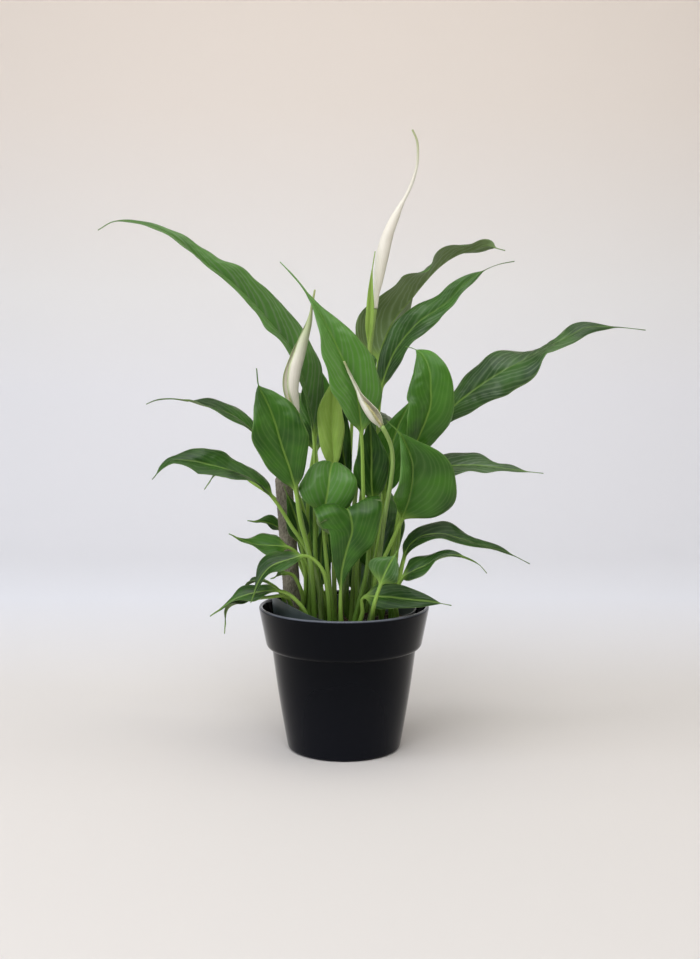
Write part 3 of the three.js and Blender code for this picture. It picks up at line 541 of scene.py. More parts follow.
def rooted(foot, heading):
    """Frames of the level rings of a stem in the soil."""
    z = np.array([SOIL_TOP - STEM_DEPTH, SOIL_TOP + 0.5])
    place = np.stack([0 * z + foot[0], 0 * z + foot[1], z], 1)
    right = np.array([[math.sin(heading), -math.cos(heading), 0.0]] * 2)
    return place, right, np.cross(right, [0.0, 0.0, 1.0])


def smooth_step(x):
    """3x^2 - 2x^3 on x held between 0 and 1."""
    x = np.clip(x, 0, 1)
    return x * x * (3 - 2 * x)


def blade_section(width, shape, t, s, over, length, draw):
    """A blade's section at t along and s across, where its half-width is h = lance(t) and its fold
    is f. Across it is s h cos f, with a margin that waves by a twentieth. Up it is the sum of the
    fold |s| h sin f and a dome, the edges' ripple s^2 sin(2 pi n t) and small curls, a slow swell,
    half the thickness to each side, the sunk midrib or the rib below, and the hollows between the
    veins, -cos^4(pi p), which fade out at the midrib, the margin, the base and the tip. The place
    among the veins is p = (along - (0.8 width + 32) |s|^1.3) / 13, a little uneven. Also gives
    what the material reads: the mm along and across, and p."""
    fold = math.radians(shape.get("fold", 20))
    high, count, lag = shape.get("wave", [2, 2, 0])
    half = lance(t, shape.get("belly", 0.7), shape.get("drip", 0.1), shape.get("taper", TAPER))
    half = np.maximum(width / 2 * half, TIP_HALF_WIDTH)
    wide, side, middle = np.abs(s), np.sign(s), np.sin(math.pi * t)
    along, across = t * length, s * half
    turns = length / CURL_LENGTH * t + draw.uniform()
    curls = CURL_SHARE * width * np.sin(2 * math.pi * turns + side * 1.3)
    turns = length / MARGIN_LENGTH * t + draw.uniform()
    margin = half * (1 + MARGIN_SHARE * np.sin(2 * math.pi * turns) * middle * side)
    ripple = s * s * np.sin(2 * math.pi * count * t + lag + np.where(s > 0, EDGE_LAG, 0))
    phase = (along - (VEIN_LEAN_SHARE * width + VEIN_LEAN) * wide ** 1.3) / VEIN_SPACING
    phase = phase + 0.22 * np.sin(1.7 * phase + draw.uniform(0, 6)) + 0.4 * (s > 0)
    quilt = (0.5 + 0.5 * np.cos(2 * math.pi * phase)) ** 2
    fade = np.minimum(1, half / 9) * smooth_step(t / 0.12)
    fade = fade * (1 - s ** 4) * np.minimum(1, wide / 0.15)
    swell = (SWELL_DEPTH * np.sin(2 * math.pi * phase / SWELL_VEINS + draw.uniform(0, 6))
             * wide * (1 - 0.7 * s * s) + EDGE_SWELL_DEPTH * s * s
             * np.sin(2 * math.pi * (along / EDGE_SWELL_LENGTH + s / 3) + draw.uniform(0, 6)))
    swell = swell * np.minimum(1, half / 12) * smooth_step(t / 0.15)
    rib = np.where(over > 0, -MIDRIB_DEPTH * np.exp(-(across / 1.1) ** 2),
                   -RIB_DEPTH * (1 - t) * np.exp(-(across / 1.3) ** 2)) * np.minimum(1, half / 3)
    raised = wide * math.sin(fold) + DOME * (1 - (2 * wide - 1) ** 2)
    thick = BLADE_THICKNESS * (0.9 - 0.55 * s ** 4)
    up = (raised * half + (high * ripple + curls * s ** 4) * middle - QUILT_DEPTH * quilt * fade
          + swell + over * 0.5 * thick + rib)
    marks = {"along": along, "across": across, "phase": phase}
    return s * margin * math.cos(fold), up, marks


def leaf_surface(spec, seed, slender):
    """Rings of one leaf, each point at middle + right x + upper y, and what each point is. The
    stalk's x and y are round_section, with a groove above, and the blade's are blade_section;
    over the blade's first 14 mm a smooth step turns one into the other."""
    draw = np.random.default_rng(seed)
    foot, stalk, blade, width, heading, shape = spec
    heading, roll = math.radians(heading), np.radians(shape.get("roll", [0, 0]))
    dense, reach, shares = stem_line([[*foot, SOIL_TOP + 0.5], *stalk, *blade])
    base = shares[1 + len(stalk)]
    length = reach[-1] * (1 - base)
    stalk_count = max(4, int(reach[-1] * base / STALK_RING_SPACING))
    blade_count = max(24, int(length / RING_SPACING))
    stalk_shares = base * np.arange(1, stalk_count + 1) / (stalk_count + 0.3)
    t = np.concatenate([np.zeros(2 + stalk_count), np.linspace(0, 1, blade_count + 1)[1:]])
    at = np.concatenate([stalk_shares, base + (1 - base) * t[2 + stalk_count:]])
    roll = np.interp(t[2:], np.linspace(0, 1, len(roll)), roll)
    parts = [rooted(foot, heading), frames(dense, reach, at, heading, roll)]
    middle, right, upper = (np.concatenate([a, b])[:, None] for a, b in zip(*parts))
    s, over = columns(LEAF_COLUMNS)
    s, over, t = s[None], over[None], t[:, None]
    rise = np.minimum(np.concatenate([[0, 0], at / base])[:, None], 1)
    radius = slender * (STALK_RADIUS + (STALK_END_RADIUS - STALK_RADIUS) * rise)
    stalk_x, stalk_y = round_section(radius, s, over)
    stalk_y = stalk_y - GROOVE_DEPTH * np.exp(-(s / 0.2) ** 2) * (over > 0) * rise
    blade_x, blade_y, marks = blade_section(width, shape, t, s, over, length, draw)
    mix = smooth_step(t * length / JOIN_LENGTH)
    x = stalk_x * (1 - mix) + blade_x * mix
    y = stalk_y * (1 - mix) + blade_y * mix
    marks.update(under=(over < 0) * 1.0, stalk=1 - mix, rise=rise, edge=np.abs(s))
    return middle + right * x[..., None] + upper * y[..., None], marks


def mark_points(thing, marks, shape):
    """Stores one number per point for each name, on a grid of the rings' shape."""
    for name, values in marks.items():
        store = thing.data.attributes.new(name, "FLOAT", "POINT")
        store.data.foreach_set("value", np.broadcast_to(values, shape).astype(np.float32).ravel())


def leaf_tissue(name, deep, fresh, vein, below, stalk_low, stalk_high, gloss):
    """Living leaf: waxy green above, paler and duller below, with a light midrib 2 mm wide, side
    veins every 13 mm and four fine ones between each two. The green is fresher in patches of
    36 mm and flecked at 1.4 mm. The stalk is darker at its foot."""
    material, node, place = new_material(name)
    across, phase, under, tone, edge, along, painted_sheen, rise, stalk = (
        node("Attribute", attribute_name=mark).outputs["Fac"] for mark in
        ("across", "phase", "under", "tone", "edge", "along", "painted_sheen", "rise", "stalk"))
    patch = node("TexNoise", {"Vector": place, "Scale": 28.0, "Detail": 2.0})
    fleck = node("TexNoise", {"Vector": place, "Scale": 700.0, "Detail": 3.0})
    def lines(count, sharp):
        """Lines along the veins, count to each vein: ((1 + cos(2 pi count p)) / 2)^sharp."""
        turn = node("Math", {0: phase, 1: count * 2 * math.pi}, operation="MULTIPLY")
        beat = node("MapRange", {0: node("Math", {0: turn}, operation="COSINE"), 1: -1.0, 2: 1.0})
        return node("Math", {0: beat, 1: sharp}, operation="POWER")
    main, fine = lines(1, 4.0), lines(5, 3.0)
    weight = node("Math", {0: patch, 1: 1.7, 2: tone}, operation="MULTIPLY_ADD")
    # Painted sheen: a grey-green laid over each leaf, strongest on its vein bands, stands in for
    # the highlight on its gloss.
    grey = node("MapRange", {0: main, 3: 0.5, 4: 1.7})
    top = deep
    for share, colour in (
            (node("Math", {0: weight, 1: 0.62}, operation="SUBTRACT"), fresh),
            (node("Math", {0: fine, 1: 0.03}, operation="MULTIPLY"), vein),
            (node("Math", {0: main, 1: 0.1}, operation="MULTIPLY"), vein),
            (node("MapRange", {0: edge, 1: 0.94, 4: 0.4}), vein),
            (node("Math", {0: painted_sheen, 1: grey}, operation="MULTIPLY"), "#728468")):
        top = node("Mix", {0: share, 6: top, 7: colour}, data_type="RGBA")
    share = node("Math", {0: main, 1: 0.45}, operation="MULTIPLY")
    bottom = node("Mix", {0: share, 6: below, 7: "#90a478"}, data_type="RGBA")
    level = node("MapRange", {0: node("Math", {0: across}, operation="ABSOLUTE"),
                              1: 0.4, 2: 1.3, 3: 1.0, 4: 0.0}, interpolation_type="SMOOTHSTEP")
    fading = node("MapRange", {0: along, 2: 110.0, 3: 0.7, 4: 0.12})
    rib = node("Math", {0: level, 1: fading}, operation="MULTIPLY")
    foot = node("MapRange", {0: rise, 2: 0.75})
    stem = node("Mix", {0: foot, 6: stalk_low, 7: stalk_high}, data_type="RGBA")
    tint = top
    for share, colour in ((under, bottom), (rib, stalk_high), (stalk, stem)):
        tint = node("Mix", {0: share, 6: tint, 7: colour}, data_type="RGBA")
    specks = node("MapRange", {0: fleck, 1: 0.3, 2: 0.75, 4: 0.14})
    tint = node("Mix", {0: specks, 6: tint, 7: "#c8dc98"}, data_type="RGBA",
                blend_type="SOFT_LIGHT")
    wax = node("MapRange", {0: fleck, 1: 0.3, 2: 0.7, 3: gloss - 0.05, 4: gloss + 0.06})
    rough = node("Math", {0: under, 1: 0.14, 2: wax}, operation="MULTIPLY_ADD")
    grain = node("Math", {0: fleck, 1: 0.25}, operation="MULTIPLY")
    relief = node("Math", {0: fine, 1: -0.12, 2: grain}, operation="MULTIPLY_ADD")
    bump = node("Bump", {"Strength": 0.5, "Distance": 0.0005, "Height": relief})
    return finish_material(material, {
        "Base Color": tint, "Roughness": rough, "IOR": 1.36, "Normal": bump})


mature = leaf_tissue("mature_leaf_cuticle", "#153806", "#4a7f24", "#84a85a", "#667d4a",
                     "#507326", "#8fb250", 0.34)
young = leaf_tissue("young_leaf_cuticle", "#82a445", "#aac963", "#bfd288", "#a5ba70",
                    "#5c7a30", "#9cb65e", 0.42)

# Each leaf's foot in the soil, the points that its stalk and then its midrib pass through, its
# full width, the way its tip heads (degrees, 0 to the right and 90 to the back), and its shape.
# Roll turns the blade about its midrib from base to tip, fold raises each half, and wave is the
# ripple of its edges: height, number and place. Belly, drip and taper shape its outline: where
# it is widest, how much of its end is a thin tip, and how sharply it narrows.
LEAVES = {
    "upper_left": ([-18, -6], [[-25, -2, 168], [-26, 4, 223]], [[-27, 8, 279], [-34, 6, 318],
        [-44, 2, 351], [-66, -2, 380], [-81, -6, 397], [-100, -12, 415], [-121, -16, 430],
        [-143, -17, 449], [-168, -15, 461], [-197, -11, 465], [-213, -6, 458]], 42, 180,
        dict(roll=[35, 45], fold=30, wave=[1.5, 2, 0], drip=0.04, belly=0.55)),
    "centre_front": ([8, -26], [[21, -26, 173], [17, -28, 225]], [[15, -30, 281], [10, -33, 319],
        [-1, -34, 346], [-11, -33, 368], [-21, -30, 387], [-36, -24, 409], [-55, -16, 430]], 48, 90,
        dict(roll=[-25, -25], fold=18, wave=[2, 2, 1], drip=0.2)),
    "top_back": ([14, 14], [[27, 18, 166], [31, 26, 265]], [[31, 27, 345], [36, 29, 364],
        [46, 33, 384], [60, 36, 401], [74, 38, 418], [87, 38, 431], [101, 36, 440], [117, 32, 445],
        [129, 27, 448], [136, 23, 445], [143, 20, 443]], 64, 0, dict(roll=[60, 48, 15, 5, 20, 60],
        fold=14, wave=[4, 4, 2], belly=0.52, drip=0.06, taper=0.65)),
    "right_upper": ([24, 8], [[25, 10, 167], [29, 14, 257]], [[33, 17, 318], [38, 18, 336],
        [44, 18, 351], [51, 17, 362], [59, 16, 372], [68, 14, 381], [80, 12, 389], [91, 10, 397],
        [100, 8, 407], [110, 7, 416], [120, 5, 423], [134, 3, 429], [149, 2, 432]], 31, 10,
        dict(roll=[-45, -45], fold=15, wave=[2.5, 3, 1], belly=0.82, drip=0.16, taper=0.85)),
    "far_right": ([44, -4], [[46, -2, 169], [55, 2, 231]], [[68, 6, 270], [84, 6, 291],
        [99, 6, 307], [118, 4, 322], [137, 1, 335], [154, -2, 344], [168, -3, 352], [179, -4, 358],
        [195, -6, 366], [210, -8, 374], [233, -9, 375], [262, -10, 372]], 42, 0,
        dict(roll=[-50, -55, -65, -10, -50, -40], fold=-8, wave=[3, 3, 0], drip=0.1, belly=1.0)),
    "curled_right": ([33, -4], [[42, -10, 170], [50, -16, 224]], [[58, -17, 258], [63, -17, 275],
        [70, -18, 292], [75, -18, 308], [75, -18, 324], [74, -16, 338], [69, -11, 350],
        [61, -4, 356], [54, 2, 358]], 43, 90, dict(roll=[-30, -25, -5, 10, 0], fold=12,
        wave=[2, 1.5, 0], belly=0.95, drip=0.1, taper=0.8)),
    "front_left": ([-26, -22], [[-29, -27, 173], [-38, -36, 209]], [[-41, -40, 232],
        [-46, -43, 253], [-53, -45, 274], [-59, -46, 295], [-66, -45, 312], [-72, -44, 324],
        [-74, -42, 339]], 48, 90, dict(roll=[-15, -15], fold=15, wave=[2, 1.5, 2], belly=1.1,
        drip=0.13, taper=0.85)),
    "left_upper": ([-20, 10], [[-29, 20, 166], [-40, 28, 220], [-65, 28, 263]], [[-73, 28, 273],
        [-86, 28, 285], [-99, 27, 295], [-113, 25, 302], [-127, 22, 306], [-140, 19, 310],
        [-154, 16, 312], [-166, 13, 311], [-176, 10, 307]], 29, 180, dict(roll=[20, 20], fold=15,
        wave=[2, 2, 0], drip=0.32, belly=0.85, taper=1)),
    "left_lower": ([-31, -14], [[-31, -15, 175], [-46, -17, 201]], [[-61, -19, 225],
        [-75, -19, 239], [-91, -18, 247], [-112, -20, 254], [-134, -22, 259], [-152, -24, 258],
        [-166, -26, 243]], 35, 180, dict(roll=[20, 15, 20, 55, 20, 30], fold=12, wave=[2, 2, 0],
        taper=0.8, drip=0.05, belly=0.7)),
    "behind_left": ([-32, 22], [[-37, 26, 179], [-62, 27, 220]], [[-84, 28, 236], [-97, 29, 245],
        [-116, 29, 243], [-127, 29, 229]], 14, 180, dict(roll=[10, 10])),
    "behind_pole": ([-24, 34], [[-35, 41, 145], [-43, 45, 163]], [[-53, 45, 186], [-70, 44, 196],
        [-89, 40, 199]], 20, 180, dict(roll=[30, 30])),
    "low_left": ([-40, -2], [[-34, -4, 142], [-37, -10, 170]], [[-46, -16, 181], [-58, -20, 184],
        [-78, -24, 186], [-100, -28, 196]], 33, 180, dict(roll=[25, 20], fold=10)),
    "low_left_drooping": ([-12, -34], [[-14, -39, 146], [-19, -43, 168]], [[-31, -46, 179],
        [-45, -50, 177], [-62, -53, 171], [-72, -56, 159], [-79, -58, 141]], 30, 190,
        dict(roll=[20, 30], fold=10)),
    "low_over_pole": ([-41, -12], [[-36, -16, 136], [-40, -20, 151]], [[-45, -22, 159],
        [-54, -24, 160], [-64, -26, 156]], 12, 180, dict(roll=[20, 20])),
    "low_left_outer": ([-33, -34], [[-33, -42, 129], [-43, -42, 142]], [[-53, -42, 148],
        [-74, -42, 147], [-94, -44, 141], [-115, -46, 127]], 22, 180, dict(roll=[20, 30], fold=10)),
    "low_left_thin": ([-49, -6], [[-55, -20, 142]], [[-61, -23, 149], [-73, -26, 155],
        [-86, -28, 150], [-93, -28, 142]], 8, 180, dict(roll=[10, 10])),
    "low_left_hooked": ([-44, -22], [[-50, -34, 142]], [[-64, -36, 142], [-85, -38, 139],
        [-100, -40, 133], [-103, -42, 111]], 14, 180, dict(roll=[10, 10])),
    "folded_centre": ([-8, -20], [[-14, -22, 159], [-17, -23, 190]], [[-18, -24, 209],
        [-14, -24, 233], [-12, -18, 249], [-10, -8, 256], [-8, 0, 252]], 50, 90, dict(fold=8,
        wave=[2, 1.5, 0], belly=0.9, taper=0.8)),
    "front_fan": ([-2, -42], [[-3, -44, 132]], [[-3, -45, 145], [-2, -49, 166], [3, -52, 188],
        [7, -52, 202], [5, -50, 216], [2, -45, 220], [4, -40, 216], [8, -37, 202], [11, -36, 193]],
        60, 90, dict(fold=6, wave=[2, 1, 0], belly=2.4, drip=0, taper=0.58)),
    "right_bright": ([34, -22], [[27, -32, 156], [38, -34, 183]], [[48, -34, 206], [55, -34, 226],
        [58, -36, 242], [58, -39, 258], [54, -42, 271], [47, -45, 284], [36, -46, 295]], 84, 90,
        dict(roll=[-35, -35], fold=32, wave=[2, 1, 0], belly=0.74, drip=0.12, taper=1.6)),
    "pale_upright": ([-8, -8], [[-9, -4, 170], [-9, 4, 214]], [[-9, 5, 245], [-10, 5, 267],
        [-11, 5, 289], [-10, 6, 313], [-6, 8, 343]], 27, 90, dict(roll=[10, 10], fold=25,
        young=True, belly=0.95, taper=1)),
    "tall_sheath": ([6, -2], [[10, 1, 168], [19, 1, 267], [22, -3, 330]], [[22, -6, 355],
        [22, -6, 377], [23, -6, 398], [24, -6, 420], [27, -6, 440]], 8, 90, dict(fold=25,
        wave=[0, 1, 0], young=True)),
    "shaded_left": ([-25, -10], [[-29, -7, 150]], [[-38, -2, 180], [-41, -3, 201], [-47, -5, 219],
        [-53, -8, 236]], 20, 100, dict(fold=10)),
    "shaded_middle": ([-16, 12], [[-18, 8, 140]], [[-21, 6, 139], [-21, 6, 163], [-20, 6, 186],
        [-17, 6, 208]], 20, 90, dict(fold=10)),
    "dark_left": ([-28, 4], [[-31, 14, 168], [-33, 18, 205], [-31, 23, 240]], [[-26, 25, 273],
        [-25, 25, 294], [-26, 25, 312], [-27, 25, 330], [-30, 25, 349], [-31, 26, 360]], 29, 100,
        dict(fold=15, belly=1)),
    "dark_behind": ([4, 16], [[1, 20, 166], [-1, 23, 206]], [[2, 24, 220], [1, 26, 247],
        [-3, 27, 283], [-5, 27, 319], [-6, 27, 346], [-4, 27, 366]], 17, 90, dict(fold=15,
        belly=0.8)),
    "dark_middle": ([12, -8], [[12, -8, 170], [20, -9, 206]], [[25, -10, 219], [24, -12, 241],
        [24, -13, 263], [23, -14, 285], [21, -14, 305]], 32, 90, dict(fold=15, belly=0.8)),
    "dark_right": ([24, -4], [[28, 2, 170], [33, 6, 197]], [[36, 8, 222], [39, 10, 248],
        [43, 11, 271], [49, 12, 289], [57, 12, 306], [64, 12, 320]], 34, 90, dict(fold=5,
        wave=[1.5, 1, 0], belly=0.8)),
    "right_thin": ([42, 8], [[43, 12, 167], [59, 16, 221]], [[76, 18, 246], [95, 18, 251],
        [120, 14, 252], [148, 8, 249], [177, 2, 246]], 32, 0, dict(roll=[-35, -30], fold=10,
        wave=[1.5, 3, 0], belly=0.55)),
    "right_arching": ([46, -14], [[46, -14, 139], [50, -15, 159]], [[52, -16, 169], [57, -18, 183],
        [67, -20, 192], [84, -23, 195], [101, -24, 191], [120, -25, 185], [140, -25, 180],
        [162, -24, 169]], 30, 0, dict(roll=[-25, -20], fold=12, wave=[1.5, 3, 0])),
    "right_hidden": ([44, 18], [[47, 17, 141], [53, 14, 165]], [[56, 11, 178], [61, 8, 190],
        [69, 6, 194], [87, 4, 189]], 12, 0, dict(roll=[-10, -10])),
    "right_low": ([48, -24], [[45, -28, 134]], [[49, -32, 155], [59, -37, 164], [71, -39, 170],
        [83, -40, 177], [95, -41, 179], [108, -40, 176], [117, -39, 170], [123, -38, 163]], 32, -10,
        dict(roll=[-25, -15], fold=12, belly=0.6, drip=0.3, taper=0.9)),
    "lowest_right": ([12, -36], [[16, -37, 129]], [[16, -38, 141], [34, -46, 144], [55, -53, 143],
        [73, -57, 142], [91, -59, 139]], 26, -20, dict(roll=[-50, -50], fold=10, belly=0.6,
        taper=0.9)),
    "small_upright": ([24, -44], [[25, -60, 138]], [[30, -62, 155], [34, -64, 166], [39, -64, 176],
        [45, -61, 186]], 34, 60, dict(fold=15, belly=0.9)),
    "back_tall": ([2, 28], [[4, 36, 198], [6, 42, 263]], [[8, 48, 302], [10, 60, 336],
        [14, 80, 355], [18, 106, 361], [22, 136, 351]], 42, 88, dict(fold=15, wave=[2, 2, 0])),
    "back_high_left": ([-12, 26], [[-16, 40, 178], [-22, 54, 228]], [[-26, 64, 258], [-30, 84, 290],
        [-34, 112, 308], [-38, 148, 308], [-42, 186, 288]], 46, 95, dict(fold=15, wave=[3, 2, 0])),
    "back_high_right": ([28, 26], [[32, 40, 178], [36, 52, 223]], [[38, 62, 248], [42, 84, 274],
        [46, 112, 288], [50, 148, 286], [54, 182, 266]], 46, 85, dict(fold=15, wave=[3, 2, 1])),
    "back_middle_left": ([-14, 38], [[-20, 42, 132]], [[-22, 46, 146], [-24, 53, 176],
        [-25, 65, 206], [-28, 90, 226], [-32, 120, 224]], 44, 95, dict(fold=12, wave=[2, 2, 0])),
    "back_middle_right": ([20, 38], [[24, 42, 132]], [[27, 46, 146], [30, 52, 174], [33, 64, 202],
        [35, 88, 220], [37, 122, 216]], 50, 88, dict(fold=12, wave=[2, 2, 2])),
    "back_low": ([10, 45], [[11, 48, 120]], [[13, 51, 127], [15, 56, 148], [16, 68, 168],
        [14, 98, 178], [14, 128, 162]], 52, 90, dict(fold=12, wave=[1.5, 2, 0], belly=0.6)),
}

# How much fresher each leaf's green is than usual, and how much grey painted sheen, a painted
# highlight on its gloss, lies on it. A leaf that isn't named has 0 and 0.
TONES = {
    "upper_left": (0.65, 0.38), "centre_front": (0.95, 0.2), "right_upper": (0.0, 0.17),
    "far_right": (-0.15, 0.17), "curled_right": (0.5, 0), "front_left": (0.15, 0),
    "left_upper": (-0.15, 0.1), "left_lower": (-0.1, 0), "folded_centre": (0.65, 0.18),
    "front_fan": (0.1, 0), "right_bright": (0.3, 0.03), "dark_right": (0.4, 0),
    "dark_left": (0.6, 0.1), "right_arching": (-0.3, 0.02), "right_low": (-0.2, 0.04),
    "lowest_right": (-0.2, 0.05), "right_thin": (0.0, 0.4), "dark_middle": (0.1, 0),
    "dark_behind": (-0.1, 0), "shaded_left": (-0.1, 0), "shaded_middle": (-0.1, 0),
    "low_left": (0.1, 0), "small_upright": (0.1, 0.18),
}

# The two shaded leaves have thinner stalks, in shares of the usual one, which keeps them clear of
# the stalks that they stand against.
SLENDER_STALKS = {"shaded_left": 0.8, "shaded_middle": 0.8}

for number, (name, spec) in enumerate(LEAVES.items()):
    rings, marks = leaf_surface(spec, LEAF_SEED + number, SLENDER_STALKS.get(name, 1.0))
    is_young = spec[-1].get("young")
    leaf = mesh_object("lily_leaf_" + name, rings, skin(rings), young if is_young else mature)
    marks["tone"], marks["painted_sheen"] = TONES.get(name, (0.0, 0))
    mark_points(leaf, marks, rings.shape[:2])
    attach(leaf, "root")
    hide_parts("leaf_" + name)


# ---- Flowers ----
# Each flower is a smooth round stem, a white spathe rolled round it like a sheet of paper, with a
# green tip and green veins at its base, and inside it the spadix, a club set with tiny bumps.
FLOWER_STEM_RADIUS, STEM_COLUMNS, STEM_RING_SPACING = 2.3, 9, 4
SPATHE_THICKNESS, SPATHE_COLUMNS, SPATHE_RING_SPACING, SEAT_GAP = 0.8, 41, 1.6, 0.3
SPATHE_RIBS, SPATHE_RIB_HEIGHT, SPATHE_WAVES, SPATHE_WAVE_HEIGHT = 7, 0.07, 5, 0.25
SPATHE_FOOT_TAPER = 1.6
SPADIX_LENGTH, SPADIX_RINGS, SPADIX_SIDES = 26, 60, 40
FLORETS_ROUND, FLORETS_ALONG, FLORET_DEPTH = 10, 12, 0.1
SPADIX_RADII = [1.1, 1.2, 1.5, 1.7, 1.6, 1]

# Each flower's foot in the soil, the points of its stem and then of its spathe, the spathe's
# widest radius, the angle it is rolled to each side from base to tip (radians), and the way its
# back faces. Green is how young it is; belly and drip are those of the leaves.
FLOWERS = {
    "tall": {
        "green": 0.05, "foot": [-4, 4], "stem": [[4, 8, 168], [14, 5, 267], [22, 3, 346]],
        "spathe": [[27, 0, 391], [32, 0, 426], [35, 0, 443], [40, 0, 459], [47, 1, 475],
                   [56, 1, 492], [63, 0, 512], [64, -1, 525], [63, -2, 535], [59, -3, 544]],
        "radius": 5.1, "curl": [2.6, 2.8], "heading": 200, "belly": 0.85, "drip": 0.3},
    "left": {
        "green": 0.75, "foot": [-20, -14],
        "stem": [[-22, -17, 145], [-30, -21, 176], [-40, -27, 225], [-42, -29, 268]],
        "spathe": [[-41, -28, 295], [-45, -29, 309], [-47, -30, 322], [-44, -30, 338],
                   [-40, -29, 349], [-35, -28, 363], [-30, -26, 378], [-27, -24, 395],
                   [-25, -22, 406]],
        "radius": 7.6, "curl": [1.5, 2.3, 2.9, 2.9], "heading": 20, "belly": 0.54, "drip": 0.05},
    "front": {
        "green": 0.3, "foot": [22, -22],
        "stem": [[26, -22, 137], [35, -25, 208], [40, -27, 238], [42, -29, 259], [40, -32, 274]],
        "spathe": [[32, -38, 290], [25, -41, 300], [16, -42, 312], [10, -41, 324], [5, -40, 334],
                   [0, -39, 345]],
        "radius": 5, "curl": [2.3, 2.9], "heading": 120, "belly": 0.55, "drip": 0.3},
}


def spathe_section(spec, t):
    """A spathe's section at t along: a sheet bent to the radius r through the angle curl to each
    side, (r sin(curl s), -r cos(curl s)). r follows lance(t), at least 2.3 - 1.6 t, with half the
    thickness to each side, five waves of the margins and seven ribs."""
    s, over = columns(SPATHE_COLUMNS)
    s, over = np.sign(s[None]) * np.abs(s[None]) ** (1 / CROWDING), over[None]
    curl = np.interp(t, np.linspace(0, 1, len(spec["curl"])), spec["curl"])
    wide = np.maximum(spec["radius"] * lance(t, spec["belly"], spec["drip"]),
                      FLOWER_STEM_RADIUS - SPATHE_FOOT_TAPER * t)
    waves = (SPATHE_WAVE_HEIGHT * np.sin(2 * math.pi * SPATHE_WAVES * t + 2 * s)
             * np.abs(s) ** 3 * np.sin(math.pi * t))
    ribs = SPATHE_RIB_HEIGHT * np.cos(2 * math.pi * SPATHE_RIBS * s) * np.minimum(1, wide / 4)
    thick = SPATHE_THICKNESS * (1 - 0.6 * s ** 4) * np.minimum(1, wide / 1.5)
    radius = wide - over * 0.5 * thick + waves + ribs
    return radius * np.sin(curl * s), -radius * np.cos(curl * s), s


def flower_surfaces(spec):
    """Rings of a flower's stem, spathe and spadix, all on one path. The spadix is a club, round
    but for its florets: its radius is multiplied by 1 - 0.1 (1 + cos 10a cos 24 pi u) / 2."""
    heading = math.radians(spec["heading"])
    foot, stalk = spec["foot"], spec["stem"]
    dense, reach, shares = stem_line([[*foot, SOIL_TOP + 0.5], *stalk, *spec["spathe"]])
    top = shares[1 + len(stalk)]
    seat = top + SEAT_GAP / reach[-1]
    def placed(path_frames, x, y):
        place, right, upper = (v[:, None] for v in path_frames)
        return place + right * x[..., None] + upper * y[..., None]
    def along_path(at, x, y):
        return placed(frames(dense, reach, at, heading, 0.0), x, y)
    s, over = (v[None] for v in columns(STEM_COLUMNS))
    rise = np.linspace(0, 1, int(top * reach[-1] / STEM_RING_SPACING))[1:]
    radius = FLOWER_STEM_RADIUS * np.interp(rise, [0, 0.9, 1], [1, 0.78, 0.92])[:, None]
    stem = np.concatenate([
        placed(rooted(foot, heading), *round_section(FLOWER_STEM_RADIUS, s, over)),
        along_path(top * rise, *round_section(radius, s, over))])

    t = np.linspace(0, 1, int((1 - seat) * reach[-1] / SPATHE_RING_SPACING))[:, None]
    x, y, sheet = spathe_section(spec, t)
    hood = along_path(np.minimum(1, seat + (1 - seat) * t[:, 0]), x, y)

    u = np.linspace(0, 1, SPADIX_RINGS)
    turn = np.linspace(0, 2 * math.pi, SPADIX_SIDES, endpoint=False)[None]
    club = (np.interp(u, np.linspace(0, 1, len(SPADIX_RADII)), SPADIX_RADII)
            * np.sqrt(np.minimum(1, (1.02 - u) / 0.08)))[:, None]
    beads = np.cos(FLORETS_ROUND * turn) * np.cos(2 * math.pi * FLORETS_ALONG * u[:, None])
    club = club * (1 - FLORET_DEPTH * (0.5 + 0.5 * beads))
    at = seat + u * SPADIX_LENGTH / reach[-1]
    spadix = along_path(at, -club * np.cos(turn), club * np.sin(turn))
    marks = {"along": t, "edge": np.abs(sheet), "sheet": sheet, "green": spec["green"]}
    return stem, hood, spadix, marks


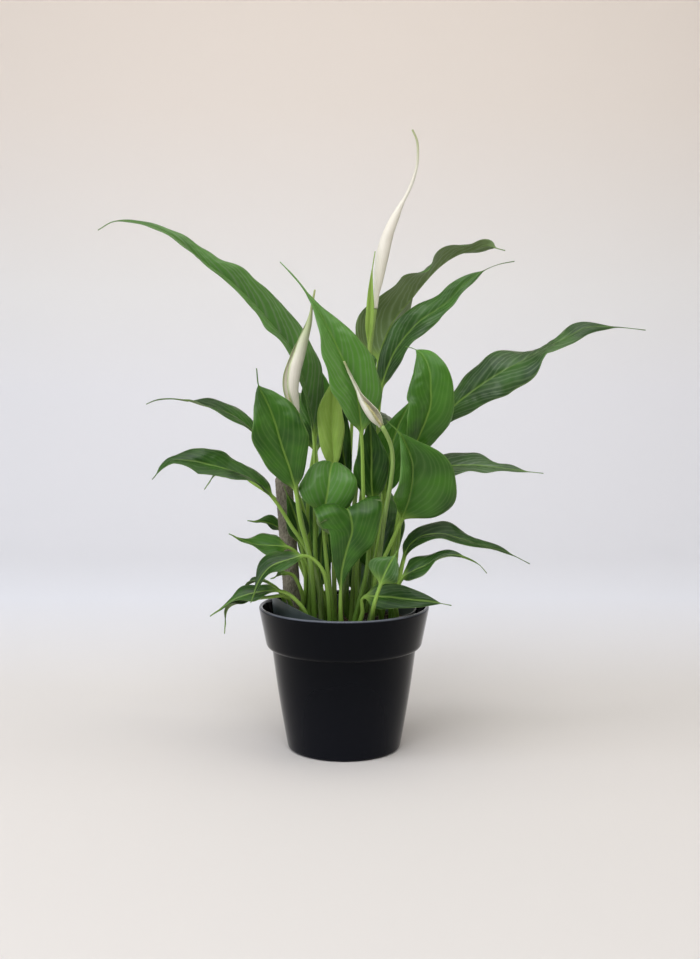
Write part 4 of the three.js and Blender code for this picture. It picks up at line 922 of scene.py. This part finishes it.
def spathe_tissue():
    """Petal-like bract: soft matt cream white that turns green at its tip, along its margins and
    along the fine veins at its base, the more so in a young flower."""
    material, node, place = new_material("white_spathe_tissue")
    along, sheet, green, edge = (node("Attribute", attribute_name=mark).outputs["Fac"]
                                 for mark in ("along", "sheet", "green", "edge"))
    cloud = node("TexNoise", {"Vector": place, "Scale": 90.0, "Detail": 2.0})
    turn = node("Math", {0: sheet, 1: 2 * math.pi * 9}, operation="MULTIPLY")
    beat = node("MapRange", {0: node("Math", {0: turn}, operation="COSINE"), 1: -1.0, 2: 1.0})
    veins = node("Math", {0: beat, 1: 4.0}, operation="POWER")
    base = node("MapRange", {0: along, 2: 0.35, 3: 0.5, 4: 0.0})
    low = node("Math", {0: base, 1: veins}, operation="MULTIPLY")
    high = node("MapRange", {0: along, 1: 0.35, 2: 0.8}, interpolation_type="SMOOTHSTEP")
    upper = node("Math", {0: high, 1: green}, operation="MULTIPLY")
    margin = node("MapRange", {0: edge, 1: 0.86, 2: 0.97})
    rim = node("Math", {0: margin, 1: green}, operation="MULTIPLY")
    young_part = node("Math", {0: upper, 1: rim}, operation="MAXIMUM")
    tip = node("MapRange", {0: along, 1: 0.72, 4: 0.8}, interpolation_type="SMOOTHSTEP")
    tint = "#e1dccb"
    for share, code in ((cloud, "#eeeadd"), (low, "#a9bf78"), (young_part, "#8da653"),
                        (tip, "#9fa968")):
        tint = node("Mix", {0: share, 6: tint, 7: code}, data_type="RGBA")
    return finish_material(material, {"Base Color": tint, "Roughness": 0.55})


def spadix_tissue():
    """Packed florets: matt pale cream, greener in the gaps."""
    material, node, place = new_material("spadix_florets")
    grain = node("TexVoronoi", {"Vector": place, "Scale": 1400.0}).outputs["Distance"]
    gaps = node("MapRange", {0: grain, 1: 0.1, 2: 0.6})
    tint = node("Mix", {0: gaps, 6: "#efe7c4", 7: "#b9b77a"}, data_type="RGBA")
    bump = node("Bump", {"Strength": 0.6, "Distance": 0.0004, "Height": grain}, invert=True)
    return finish_material(material, {"Base Color": tint, "Roughness": 0.8, "Normal": bump})


def flower_stem_tissue():
    """A smooth succulent stem: fresh green, lighter towards the flower, faintly streaked."""
    material, node, place = new_material("flower_stem_cuticle")
    height = node("SeparateXYZ", {0: place}).outputs["Z"]
    stretched = node("Mapping", {"Vector": place, "Scale": (1, 1, 0.1)})
    streak = node("TexNoise", {"Vector": stretched, "Scale": 500.0, "Detail": 2.0})
    rise = node("MapRange", {0: height, 1: 0.11, 2: 0.26})
    pale = node("MapRange", {0: streak, 1: 0.4, 2: 0.7, 4: 0.35})
    tint = node("Mix", {0: rise, 6: "#5d7a35", 7: "#8fae58"}, data_type="RGBA")
    tint = node("Mix", {0: pale, 6: tint, 7: "#b4c98a"}, data_type="RGBA")
    return finish_material(material, {"Base Color": tint, "Roughness": 0.4})


white_tissue, floret_tissue, stem_tissue = spathe_tissue(), spadix_tissue(), flower_stem_tissue()
for name, spec in FLOWERS.items():
    stem, hood, spadix, hood_marks = flower_surfaces(spec)
    for part, rings, material, slot in (("stem", stem, stem_tissue, "young_leaf"),
                                        ("spathe", hood, white_tissue, "spathe"),
                                        ("spadix", spadix, floret_tissue, "spadix")):
        piece = mesh_object("lily_flower_%s_%s" % (name, part), rings, skin(rings), material)
        if part == "spathe":
            mark_points(piece, hood_marks, rings.shape[:2])
        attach(piece, "root")
        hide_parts("flower_%s_%s" % (name, part))
